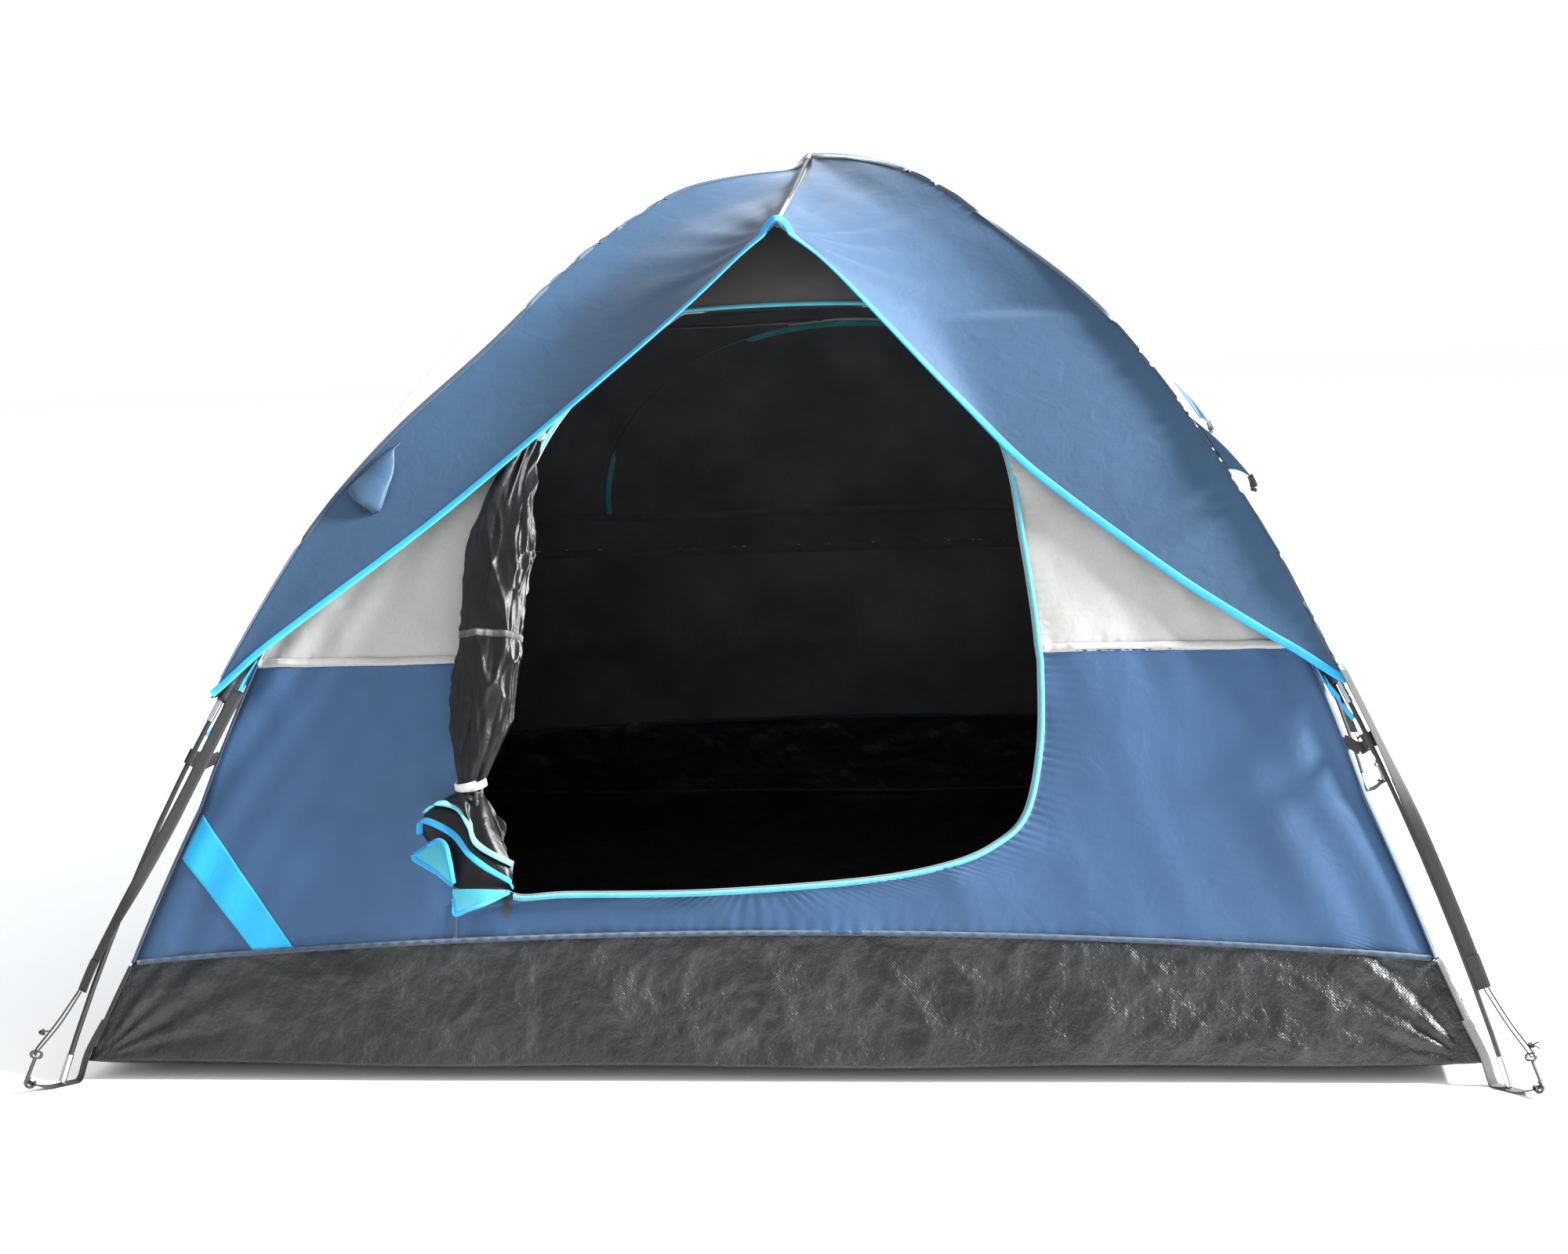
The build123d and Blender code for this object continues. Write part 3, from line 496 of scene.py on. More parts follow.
NAVY = (0.0135, 0.047, 0.098)
NAVY_SEAM = tuple(c * 0.6 for c in NAVY)
WALL_NAVY = (0.0185, 0.059, 0.134)
FLY_WHITE = (0.50, 0.58, 0.545)
WALL_WHITE = (0.31, 0.31, 0.30)
INNER_BLACK = (0.070, 0.072, 0.078)
COATING = (0.075, 0.077, 0.083)
M = {
    "fly_navy": fabric("fly_navy_polyester", NAVY, sheen=0.12, crumple=0.0012),
    "fly_white": fabric("fly_pale_polyester", FLY_WHITE, 0.05, 0.6, 0.15, crumple=0.0012, soil=0.05),
    "wall_navy": fabric("wall_navy_polyester", WALL_NAVY, sheen=0.12, crumple=0.0014),
    "wall_white": fabric("wall_pale_polyester", WALL_WHITE, 0.05, 0.66, 0.1, crumple=0.0016, soil=0.07),
    "coated": fabric("black_coating", COATING, 0.3, 0.36, 0.0, crumple=0.0022, coat=0.1),
    "black_cloth": fabric("black_polyester", (0.006, 0.0063, 0.007), 0.1, 0.5, 0.02, crumple=0.003,
                          specular=0.35),
    "tarp": tarpaulin("groundsheet_tarpaulin"),
    "mesh": netting("roof_netting", (0.085, 0.080, 0.076), 0.22),
    "cyan": tape("cyan_binding_tape", (0.002, 0.28, 0.60), 0.0011, stitch=(0.01, 0.20, 0.40), stitch_at=0.007,
                 sheen=0.05),
    "teal": tape("teal_zip_tape", (0.05, 0.30, 0.38), 0.0014),
    "webbing": tape("black_webbing", (0.0045, 0.005, 0.0055), 0.0016, 0.6, stitch=(0.03, 0.03, 0.03),
                    sheen=0.02, depth=0.0003),
    "navy_tape": tape("navy_seam_tape", NAVY_SEAM, stitch=(0.03, 0.06, 0.11)),
    "pale_tape": tape("pale_seam_tape", WALL_WHITE, stitch=(0.22, 0.22, 0.20)),
    "tie": tape("pale_tie_tape", (0.48, 0.49, 0.50), rough=0.6),
    "elastic": tape("elastic_cord_cover", (0.007, 0.0075, 0.008), depth=0.0003, sheen=0.02),
    "fibreglass": hard("pultruded_fibreglass", (0.010, 0.010, 0.011), rough=0.38, grain=260, depth=0.00006),
    "steel": hard("plated_steel", (0.42, 0.43, 0.44), 1.0, 0.26, 500, 0.00002, variation=0.1),
    "plastic": hard("moulded_black_plastic", (0.012, 0.012, 0.013), rough=0.42, grain=900, depth=0.00004),
    "zip_metal": hard("painted_zip_metal", (0.10, 0.10, 0.105), 0.9, 0.35, 700, 0.00003),
    "grey_plastic": hard("moulded_grey_plastic", (0.20, 0.20, 0.20), rough=0.45, grain=900, depth=0.00004),
    "shock": tape("white_shock_cord", (0.5, 0.5, 0.48), rough=0.7),
    "cyan_cloth": fabric("cyan_polyester", (0.004, 0.28, 0.52), rough=0.6, sheen=0.2),
    "inner_tape": tape("black_inner_tape", INNER_BLACK, sheen=0.0),
    "teal_cloth": fabric("teal_polyester", (0.03, 0.26, 0.34), rough=0.5, sheen=0.2),
    "cyan_pale": tape("pale_cyan_binding_tape", (0.10, 0.44, 0.58), 0.0011, stitch=(0.2, 0.6, 0.7),
                      stitch_at=0.007),
    "teal_dark": tape("dark_teal_zip_tape", (0.03, 0.22, 0.27), 0.0014),
    "roll_cloth": fabric("shiny_black_cloth", (0.0040, 0.0042, 0.0050), 0.1, 0.32, 0.0, crumple=0.0035,
                         coat=0.02, specular=0.22, crumple_scale=22),
    "grey_tape": tape("grey_ridge_tape", (0.15, 0.16, 0.165), stitch=(0.40, 0.36, 0.28)),
    "roll_tape": tape("black_seam_tape", (0.010, 0.010, 0.012), rough=0.45, stitch=(0.07, 0.07, 0.075)),
}
SLOT_OF = {
    "fibreglass": "fibreglass", "steel": "steel", "elastic_cord": "shock", "black_plastic": "plastic",
    "zip_metal": "zip_metal", "black_webbing": "webbing", "black_coated": "black_cloth", "tarpaulin": "tarp",
    "mesh": "mesh", "navy_wall": "wall_navy", "white_wall": "wall_white", "teal_zip": "teal",
    "pale_tape": "tie", "fly_white": "fly_white", "fly_navy": "fly_navy", "cyan_binding": "cyan",
}
for part in frame["record"]["subparts"]:
    node = frame["nodes"][part["node"]]
    material = M[SLOT_OF[part["material_slot"]]]
    if not node.data.materials:
        node.data.materials.append(material)
    for k in range(len(node.data.materials)):
        node.data.materials[k] = material


# ---------------------------------------------------------------- inner tent
def front_points(x, z, out=0.0):
    """Points on the front wall's surface, out metres off it."""
    dz = 0.004
    slope = (wall_x(z + dz) - wall_x(z - dz)) / (2 * dz)
    scale = out / np.hypot(1, slope)
    return np.stack(np.broadcast_arrays(x, -wall_x(z) - scale, z - slope * scale), -1)


def front_normal(x, z):
    return unit(front_points(x, z, 0.01) - front_points(x, z, 0.0))


def tub_top(s):
    """Height of the tub's top seam along one side, s from 0 to 1."""
    return TUB_TOP_Z - 0.006 + 0.040 * np.sin(math.pi * np.clip(s, 0, 1)) ** 0.8


def window_arc(z, half):
    """Half width of the window's arch at height z, where it is half wide at its foot."""
    return half * np.sqrt(np.clip(1 - ((z - WINDOW_Z) / (WINDOW_TOP - WINDOW_Z)) ** 2, 0, 1))


def wall_folds(x, z, seed):
    """Small folds of a stretched wall: fans from its upper and lower corners, gathers at its seams."""
    half = wall_x(z)
    side = np.clip(np.abs(x) / half, 0, 1)
    edge = (half - np.abs(x))
    fan = np.sin(edge * 95 + 7 * noise(z * 3, x * 2, seed)) * np.exp(-edge / 0.12) * 0.0034
    fan *= smooth(np.abs(x), 0.3, 0.6)
    vertical = noise(x * 6 + z * 1.5, z * 1.1, seed + 3) * 0.0060
    small = noise(x * 22 + z * 9, z * 7, seed + 7) * 0.0018
    gather = np.sin(x * 420 + 5 * noise(x * 20, 0 * x, seed)) * np.exp(-np.abs(z - SEAM_Z) / 0.012) * 0.0008
    return fan + vertical * (1 - side ** 6) + small + gather


def front_lower():
    """The front lower wall between the door's edge and the tub, puckered along the zip."""
    edge = curve(DOOR_EDGE_LOW, 900)
    split_a = np.argmin(np.hypot(edge[:, 0] + 0.425, edge[:, 1] - 0.29))
    split_b = np.argmin(np.hypot(edge[:, 0] - 0.397, edge[:, 1] - 0.370))
    inner = np.vstack([resample(edge[:split_a + 1], 90), resample(edge[split_a:split_b + 1], 330)[1:],
                       resample(edge[split_b:], 80)[1:]])
    z_left = np.linspace(SEAM_Z, float(tub_top(0.0)), 90)
    s = np.linspace(0, 1, 330)
    z_bottom = tub_top(s)
    x_bottom = -wall_x(z_bottom[0]) + 2 * wall_x(z_bottom[0]) * s
    z_right = np.linspace(float(tub_top(1.0)), SEAM_Z, 80)
    outer = np.vstack([np.stack([-wall_x(z_left), z_left], 1), np.stack([x_bottom, z_bottom], 1)[1:],
                       np.stack([wall_x(z_right), z_right], 1)[1:]])
    v = (np.linspace(0, 1, 44) ** 1.45)[:, None, None]
    flat = inner[None] * (1 - v) + outer[None] * v
    x, z = flat[..., 0], flat[..., 1]
    away = np.hypot(x - inner[None, :, 0], z - inner[None, :, 1])
    run = np.r_[0, np.cumsum(np.hypot(*np.diff(inner, axis=0).T))][None, :]
    pucker = np.sin(run * 2 * math.pi / 0.0125 + 2.2 * noise(run * 22, 0 * run, 2))
    pucker = pucker * (0.55 + 0.45 * noise(run * 30, away * 8, 4))
    curved = smooth(run, 0.55, 0.8)
    out = pucker * 0.0016 * np.exp(-away / 0.022) * (0.35 + 0.9 * curved)
    long_fold = noise(run * 16, away * 2, 6) * np.exp(-away / 0.09) * 0.004 * (0.4 + curved)
    out = out + long_fold + wall_folds(x, z, WALL_SEED["front"])
    above_tub = z - tub_top((x + 1.02) / 2.04)
    out = out + np.sin(x * 260 + 3 * noise(x * 12, 0 * x, 9)) * np.exp(-above_tub / 0.012) * 0.0009
    out *= smooth(away, -0.001, 0.004)
    return front_points(x, z, out)


def block(x_low, x_high, z, columns, seed, near=None):
    """Grid between two side curves over the heights z, with the wall's folds."""
    s = np.linspace(0, 1, columns)[None, :]
    x = x_low[:, None] * (1 - s) + x_high[:, None] * s
    zz = np.broadcast_to(z[:, None], x.shape)
    out = wall_folds(x, zz, seed) + LAP * smooth(SEAM_Z - zz, -0.001, 0.002)
    if near is not None:
        away = np.abs(x - near[:, None])
        pucker = np.sin(zz * 2 * math.pi / 0.013 + 2 * noise(zz * 22, 0 * x, seed))
        out = out + pucker * np.exp(-away / 0.018) * 0.0011
        out = out + noise(zz * 14 - x * 6, x * 3, seed + 2) * np.exp(-away / 0.10) * 0.0045
    return front_points(x, zz, out)


def closed_wall(side):
    """Grids of the lower and of the upper wall on a side without a door."""
    seed = WALL_SEED[side]
    s = np.linspace(0, 1, 170)[None, :]
    v = np.linspace(0, 1, 48)[:, None]
    z = tub_top(s) * (1 - v) + SEAM_Z * v
    x = (2 * s - 1) * wall_x(z)
    low = [front_points(x, z, wall_folds(x, z, seed))]
    if side != "rear":
        z = np.linspace(UPPER_LOW_Z, ROOF_Z, 110)
        return low, [block(-wall_x(z), wall_x(z), z, 150, seed)]
    below = np.linspace(UPPER_LOW_Z, WINDOW_Z, 40)
    beside = np.linspace(WINDOW_Z, WINDOW_TOP, 90)
    above = np.linspace(WINDOW_TOP, ROOF_Z, 8)
    arc = window_arc(beside, WINDOW_HALF)
    return low, [block(-wall_x(below), wall_x(below), below, 150, seed),
                 block(-wall_x(beside), -arc, beside, 60, seed),
                 block(arc, wall_x(beside), beside, 60, seed),
                 block(-wall_x(above), wall_x(above), above, 150, seed)]


def front_upper():
    """Grids of the front upper wall, to the right and to the left of the door."""
    z = np.linspace(UPPER_LOW_Z, ROOF_Z, 110)
    right, left = curve(DOOR_EDGE_RIGHT, 300), curve(DOOR_EDGE_LEFT, 300)
    door_right = np.interp(z, right[:, 1], right[:, 0])
    door_left = np.interp(z, left[:, 1], left[:, 0])
    seed = WALL_SEED["front"]
    return [block(door_right, wall_x(z), z, 70, seed, door_right),
            block(-wall_x(z), door_left, z, 70, seed, door_left)]


def wall_sheets():
    made = {}
    for side, angle in SIDES.items():
        low, high = closed_wall(side) if side != "front" else ([front_lower()], front_upper())
        for level, grids, tone in (("lower", low, "navy"), ("upper", high, "white")):
            grids = [turned(g, angle) for g in grids]
            key = f"{side}_{level}"
            made[key] = cloth(f"wall_{key}_cloth", grids, f"wall_{tone}", "coated")
    for key, o in made.items():
        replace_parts(o, f"wall_{key}")
        low = key.endswith("lower")


def tub_side(k, s):
    """Grid of one side of the tub, from its edge on the ground to its top seam, crinkled all over."""
    v = np.linspace(0, 1, 44)[:, None]
    edge_z = TUB_EDGE_Z + 0.005 - 0.007 * np.sin(math.pi * s) + 0.002 * np.sin(s * 19 + k)
    z = edge_z * (1 - v) + tub_top(s) * v
    x = (2 * s - 1) * wall_x(z)
    rough = creases(x * 5.5, z * 7 + k, 3.0 + k, 4) - 0.45
    fine = creases(x * 17, z * 19 + k, 8.0 + k, 3) - 0.45
    fans = 0
    for along, rays, reach in ((x + 1.03, 22, 0.16), (1.03 - x, 20, 0.18)):
        fans = fans + np.sin(np.arctan2(z - 0.03, along) * rays) * np.exp(-np.hypot(z - 0.03, along) / reach)
    out = rough * 0.014 + fine * 0.004 + 0.006 * noise(x * 5, z * 3, k) + fans * 0.006
    out = out * smooth(s, 0, 0.03) * smooth(1 - s, 0, 0.03) * smooth(v, -0.02, 0.25)
    return front_points(x, z, out * (0.25 + 0.75 * smooth(1 - v, 0, 0.10)))


def tub_piece():
    """The bathtub floor: flat middle, edges that rise, and low walls up to the seam."""
    grids = []
    s = np.linspace(0, 1, 420)[None, :]
    w = np.linspace(0, 1, 14)[:, None]
    for k, angle in enumerate(SIDES.values()):
        wall = tub_side(k, s)
        grids.append(turned(wall, angle))
        base = wall[:1]
        level = np.stack(np.broadcast_arrays((2 * s - 1) * FLOOR_FLAT, -FLOOR_FLAT, FLOOR_Z), -1)
        rise = level * (1 - w[..., None]) + base * w[..., None]
        rise[..., 2] = FLOOR_Z + (base[..., 2] - FLOOR_Z) * w ** 1.8
        grids.append(turned(rise, angle))
    a = np.linspace(-FLOOR_FLAT, FLOOR_FLAT, 200)
    x, y = np.meshgrid(a, a)
    lift = np.clip(creases(x * 4, y * 4, 17.0, 3) - 0.4, 0, 1) * 0.012
    lift *= smooth(FLOOR_FLAT - np.abs(x), 0, 0.06) * smooth(FLOOR_FLAT - np.abs(y), 0, 0.06)
    grids.append(np.stack([x, y, FLOOR_Z + lift], -1))
    o = cloth("tub_floor_tarpaulin", grids, "tarp", "tarp", thick=0.001)
    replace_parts(o, "tub_floor")


def roof_piece():
    """Mesh roof: four sheets of netting to the crossing."""
    gap = 0.0205
    top = float(arch(0.0, -gap)[1])
    v = np.linspace(0, 1, 50)
    z = ROOF_Z + (top - ROOF_Z) * v ** 0.6
    half = arch_u(z, -gap) / SQ2
    half[-1] = 0.0008
    s = np.linspace(-1, 1, 70)[None, :]
    sag = 0.010 * (1 - s ** 2) * np.sin(math.pi * v)[:, None] ** 0.7
    sheet = np.stack(np.broadcast_arrays(s * half[:, None], -half[:, None], z[:, None] - sag), -1)
    grids = [turned(sheet, angle) for angle in SIDES.values()]
    o = cloth("roof_netting", grids, "mesh", "mesh", thick=0.0006)
    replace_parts(o, "roof_mesh")


wall_sheets()
tub_piece()
roof_piece()


# ---------------------------------------------------------------- fly
T_HEM = float(arch_t(HEM_Z, FLY_OUT))
SAG_RIGHT = [(0.0, 0.0), (0.10, 0.003), (0.19, 0.018), (0.29, 0.041), (0.38, 0.065), (0.46, 0.069),
             (0.56, 0.064), (0.65, 0.057), (0.74, 0.042), (0.82, 0.0235), (0.90, 0.0)]
SAG_CURVE = curve(SAG_RIGHT, 200)      # (x, drop) of the right front hem, whose cloth hangs slack
SOFT_STOP = 0.006         # how gradually the fly comes to rest against the tent
FLY_CLEAR = 0.026         # the fly stays this far out from the inner tent
ENDS = ((1, "front"), (-1, "rear"))
HANDS = ((1, "right"), (-1, "left"))


def ridge_line(s):
    """The ridge from the apex (s = 0) to the brow's peak (s = 1)."""
    return np.stack([0 * s, -PEAK_Y * s, FLY_TOP_Z - (FLY_TOP_Z - PEAK_Z) * s], -1)


def seam_curve(s):
    """The seam over the right front pole from the apex to the hem."""
    u, z = arch(T_HEM * s, FLY_OUT)
    return np.stack([u / SQ2, -u / SQ2, z], -1)


def wrap_share(s, side, front):
    """Share of a brow panel's width that the white side panel's cloth covers, from the pole inwards."""
    if side > 0 and front > 0:
        return 0.10 * (1 - smooth(s, 0.40, 0.62)) + 0.60 * (1 - smooth(s, 0.03, 0.22))
    return 0.19 * (1 - smooth(s, 0.60, 0.86)) + 0.74 * (1 - smooth(s, 0.06, 0.32))


def slack_folds(along, off_hem):
    """Folds of the slack right front brow, near its hem."""
    near = np.exp(-off_hem / 0.16) * smooth(off_hem, 0, 0.07)
    ripple = np.sin(along * 17 + 9 * off_hem + 1.6 * noise(along * 5, off_hem * 6, 71)) * near
    ripple = ripple * 0.010 * smooth(along, 0.25, 0.5) * smooth(1.22 - along, 0, 0.3)
    rumple = (creases(along * 4.5, off_hem * 9, 73, 2) - 0.4) * 0.012
    rumple = rumple * smooth(off_hem, 0, 0.05) * np.exp(-off_hem / 0.20) * smooth(along, 0.3, 0.6)
    return ripple + rumple


def wing_grid(side, front, s, w):
    """Points of a brow panel: side is 1 for the right and -1 for the left, front is 1 for the door's side.

    s runs from the apex to the hem, and w from the ridge to the pole. The panel is shaped at the right front
    and mirrored to its own place."""
    s, w = np.broadcast_arrays(s, w)
    slack = side > 0 and front > 0
    p = ridge_line(s) * (1 - w)[..., None] + seam_curve(s) * w[..., None]
    peak, corner = ridge_line(np.array(1.0)), seam_curve(np.array(1.0))
    apex = ridge_line(np.array(0.02))
    n = unit(np.cross(corner - apex, peak - apex))
    if n[2] < 0:
        n = -n
    seed = 60 + 3 * side + 7 * front
    from_peak = np.linalg.norm(p - peak, axis=-1)
    from_corner = np.linalg.norm(p - corner, axis=-1)
    hem_dir = unit(corner - peak)
    in_plane = unit(np.cross(n, hem_dir))
    along, off_hem = (p - peak) @ hem_dir, (p - peak) @ in_plane
    at_peak = np.arctan2(off_hem, along)
    at_corner = np.arctan2((p - corner) @ in_plane, -(p - corner) @ hem_dir)
    fan = np.sin(np.abs(at_peak) * 17 + 2.5 * noise(from_peak * 5, at_peak * 3, seed))
    out = fan * np.exp(-from_peak / 0.20) * (0.0042 if side > 0 else 0.0024) * smooth(from_peak, 0, 0.08)
    fan = np.sin(np.abs(at_corner) * 18 + seed) * np.exp(-from_corner / 0.22)
    out = out + fan * 0.004 * smooth(from_corner, 0, 0.06)
    out = out + noise(s * 3.1, w * 3.3, seed) * 0.006 + noise(s * 9, w * 5, seed + 1) * 0.0022
    if side * front < 0:
        out = out + noise(off_hem * 15, along * 1.6, seed + 2) * 0.0050 * smooth(from_peak, 0.1, 0.4)
    if slack:
        out = out + slack_folds(along, np.abs(off_hem))
    out = out * smooth(w, 0, 0.08) * smooth(1 - w, 0, 0.10)
    dip = -0.012 * np.sin(math.pi * w) ** 1.2 * smooth(s, 0.1, 0.6)
    p = p + n * (out + dip * (0.4 if slack else 1.0))[..., None]
    if slack:
        sag = np.interp(p[..., 0], SAG_CURVE[:, 0], SAG_CURVE[:, 1]) * smooth(s, 0.45, 1.0)
        sag = sag * (1 - (1 - smooth(1 - w, 0, 0.12)) * smooth(1 - s, 0, 0.10))
        p[..., 2] -= sag
        p[..., 1] += sag * 0.06
    shell = -(wall_x(np.clip(p[..., 2], 0, 1.3)) + FLY_CLEAR) * smooth(1.24 - p[..., 2], 0, 0.14)
    over = np.clip((p[..., 1] - shell) / SOFT_STOP, -40, 40)
    p[..., 1] -= SOFT_STOP * np.log1p(np.exp(over))
    return p * np.array([side, front, 1.0])


def side_row(s, side, across):
    """One row of a white side panel, from its wrap over the front pole to its wrap over the rear pole."""
    u, z = (float(c) for c in arch(T_HEM * s, FLY_OUT))
    u = u / SQ2
    front_w = np.linspace(1 - wrap_share(s, side, 1), 1, 31)[:-1]
    rear_w = np.linspace(1, 1 - wrap_share(s, side, -1), 31)[1:]
    y = across * u
    fold = noise(y * 6, s * 5, 90 + side) * 0.005 + noise(y * 16, s * 12, 93) * 0.0015
    fold = fold + side_gather(y) * smooth(s, 0.85, 1.0)
    out = -0.010 * (1 - across ** 2) * smooth(s, 0.1, 0.5) + fold * (1 - across ** 2) ** 0.5
    middle = np.stack([side * (u + out * 0.75), y, z + out * 0.65], -1)
    wraps = [wing_grid(side, front, np.full(30, s), w) for front, w in ((1, front_w), (-1, rear_w))]
    return np.vstack([wraps[0], middle, wraps[1]])


def side_gather(y):
    """Gathers along the hem of a white side panel."""
    return np.sin(y * 55 + 2 * noise(y * 5, 0 * y, 5)) * 0.003


def fly_pieces():
    s = np.linspace(0.004, 1, 150)[:, None]
    for front, label in ENDS:
        for side, name in HANDS:
            w = np.linspace(0, 1, 130)[None, :] * (1 - wrap_share(s, side, front))
            grids = [wing_grid(side, front, s, w)]
            o = cloth(f"fly_{label}_{name}_cloth", grids, "fly_navy", "coated")
            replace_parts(o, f"fly_{label}_{name}")
    across = np.linspace(-1, 1, 150)
    for side, name in reversed(HANDS):
        p = np.stack([side_row(si, side, across) for si in s[:, 0]])
        o = cloth(f"fly_side_{name}_cloth", [p], "fly_white", "coated")
        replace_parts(o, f"fly_side_{name}")


fly_pieces()


# ---------------------------------------------------------------- sewn and gathered pieces
def wing_edge(side, front, s, w, inset=0.0):
    """Points along a run of a brow panel, with the panel's normal at each."""
    s, w = np.broadcast_arrays(np.asarray(s, float), np.asarray(w, float))
    p = wing_grid(side, front, s, w)
    up_cloth = wing_grid(side, front, s - 0.01, w) - p
    run = np.gradient(p, axis=0)
    n = unit(np.cross(up_cloth, run))
    n *= np.sign((n * (p - np.array([0, 0, 0.3]))).sum(-1, keepdims=True))
    inwards = unit(up_cloth - unit(run) * (up_cloth * unit(run)).sum(-1, keepdims=True))
    return p + inwards * inset, n


def brow_binding(front, label):
    """Binding along a brow's hem, over the end of the ridge pole at the peak."""
    w = np.linspace(0.0, 0.995, 150)
    left, n_left = wing_edge(-1, front, 1.0, w[::-1], 0.004)
    right, n_right = wing_edge(1, front, 1.0, w, 0.004)
    keep_l, keep_r = left[:, 0] < -0.020, right[:, 0] > 0.020
    peak_y = right[0, 1]
    offsets = [(-0.014, 0.0, -0.002), (-0.007, 0.003, 0.006), (0.002, 0.004, 0.008), (0.010, 0.003, 0.004),
               (0.016, 0.0, -0.004)]
    over_peak = [(x, peak_y - front * y, PEAK_Z + z) for x, y, z in offsets]
    hump = curve([left[keep_l][-1], *over_peak, right[keep_r][0]], 26)[1:-1]
    path = np.vstack([left[keep_l], hump, right[keep_r]])
    over = unit(np.array([0, -0.75 * front, 0.66]))
    up = np.vstack([n_left[keep_l], np.broadcast_to(over, hump.shape), n_right[keep_r]])
    up = [np.convolve(np.pad(up[:, k], 8, "edge"), np.ones(17) / 17, "valid") for k in range(3)]
    o = ribbon(f"fly_{label}_binding_tape", path, unit(np.stack(up, 1)), 0.0125, 0.0034, "cyan")
    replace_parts(o, f"fly_{label}_binding")


def side_binding(side):
    u = float(arch(T_HEM, FLY_OUT)[0]) / SQ2
    y = np.linspace(-0.97, 0.97, 130) * u
    across = y / u
    fold = noise(y * 6, 5 + 0 * y, 90 + side) * 0.005 + side_gather(y)
    out = -0.010 * (1 - across ** 2) + fold * np.sqrt(1 - across ** 2)
    path = np.stack([side * (u + out * 0.75 + 0.001), y, HEM_Z + 0.003 + out * 0.65], -1)
    return ribbon(f"side_binding_{side}", path, np.array([side * 0.9, 0, 0.42]), 0.0125, 0.0034, "cyan")


def apex_patch():
    """Round patch over the crossing, pulled a little to the four seams."""
    angle = np.linspace(0, 2 * math.pi, 40, endpoint=False)
    r = np.linspace(0.0005, 1, 14)[:, None]
    size = 0.040 * (1 + 0.12 * np.cos(4 * angle))[None, :]
    x, y = r * size * np.cos(angle)[None, :], r * size * np.sin(angle)[None, :]
    dome = 0.0085 * (1 - r ** 2.2) + 0.0006 * np.sin(angle * 9)[None, :] * r
    z = np.broadcast_to(FLY_TOP_Z - 0.0030 - 0.010 * r ** 2 + dome, x.shape)
    grid = np.stack([x, y, z], -1)
    cap = cloth("fly_apex_patch", [grid], "fly_navy", "coated", thick=0.001, wrap=True)


def fly_trim():
    """Bindings on the hems and the sewn seams of the fly."""
    for front, label in ENDS:
        brow_binding(front, label)
    o = joined("fly_side_binding_tapes", [side_binding(side) for side in (-1, 1)])
    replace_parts(o, "fly_side_bindings")
    s = np.linspace(0.02, 0.985, 150)
    seams = []
    for front, label in ENDS:
        for side, name in HANDS:
            p, n = wing_edge(side, front, s, 1 - wrap_share(s, side, front) - 0.003)
            title = f"fly_seam_{label}_{name}"
            seams.append(ribbon(title, p + n * 0.0010, n, 0.008, 0.0014, "navy_tape"))
    joined("fly_pole_seams", seams)
    above = np.array([0, 0, 1.0])
    ridges = []
    for front, label in ENDS:
        p = ridge_line(np.linspace(0.02, 0.985, 90)) * np.array([1, front, 1.0])
        ridges.append(ribbon(f"ridge_{label}", p + above * 0.0004, above, 0.0075, 0.0016, "grey_tape"))
    joined("fly_ridge_seams", ridges)
    apex_patch()


def diagonal(points, corner):
    """Points (out along the diagonal, sideways, up) placed at a corner."""
    return turned(np.asarray(points, float), CORNERS[corner])


def corner_strap(k, corner, hand):
    """Webbing strap from the fly's corner down beside the pole, with its folded end."""
    z = np.linspace(HEM_Z + 0.012, STRAP_Z + 0.001, 60)
    ease = smooth((HEM_Z - z) / (HEM_Z - STRAP_Z), 0, 1)
    beside = 1 - ease ** 2.2 if hand < 0 else 0.0
    u = arch_u(z, 0.0165 - 0.0035 * ease - 0.020 * beside)
    aside = -hand * 0.034 * beside + 0 * z
    if hand < 0:
        twist = 0.85 * (1 - smooth(ease, 0.62, 0.95)) + 0.25
    else:
        twist = 1.1 * smooth(ease, 0.05, 0.6) - 0.15
    turn = -hand * twist
    normal = diagonal(np.stack([np.cos(turn), np.sin(turn), 0.45 + 0 * turn], -1), corner)
    path = diagonal(np.stack([u, aside, z], -1), corner)
    hem = diagonal(np.stack([u[-7:] + 0.0012, aside[-7:], z[-7:]], -1), corner)
    return [ribbon(f"strap_{k}", path, normal, 0.0195, 0.0016, "webbing"),
            ribbon(f"strap_hem_{k}", hem, normal[-7:], 0.0200, 0.0018, "webbing")]


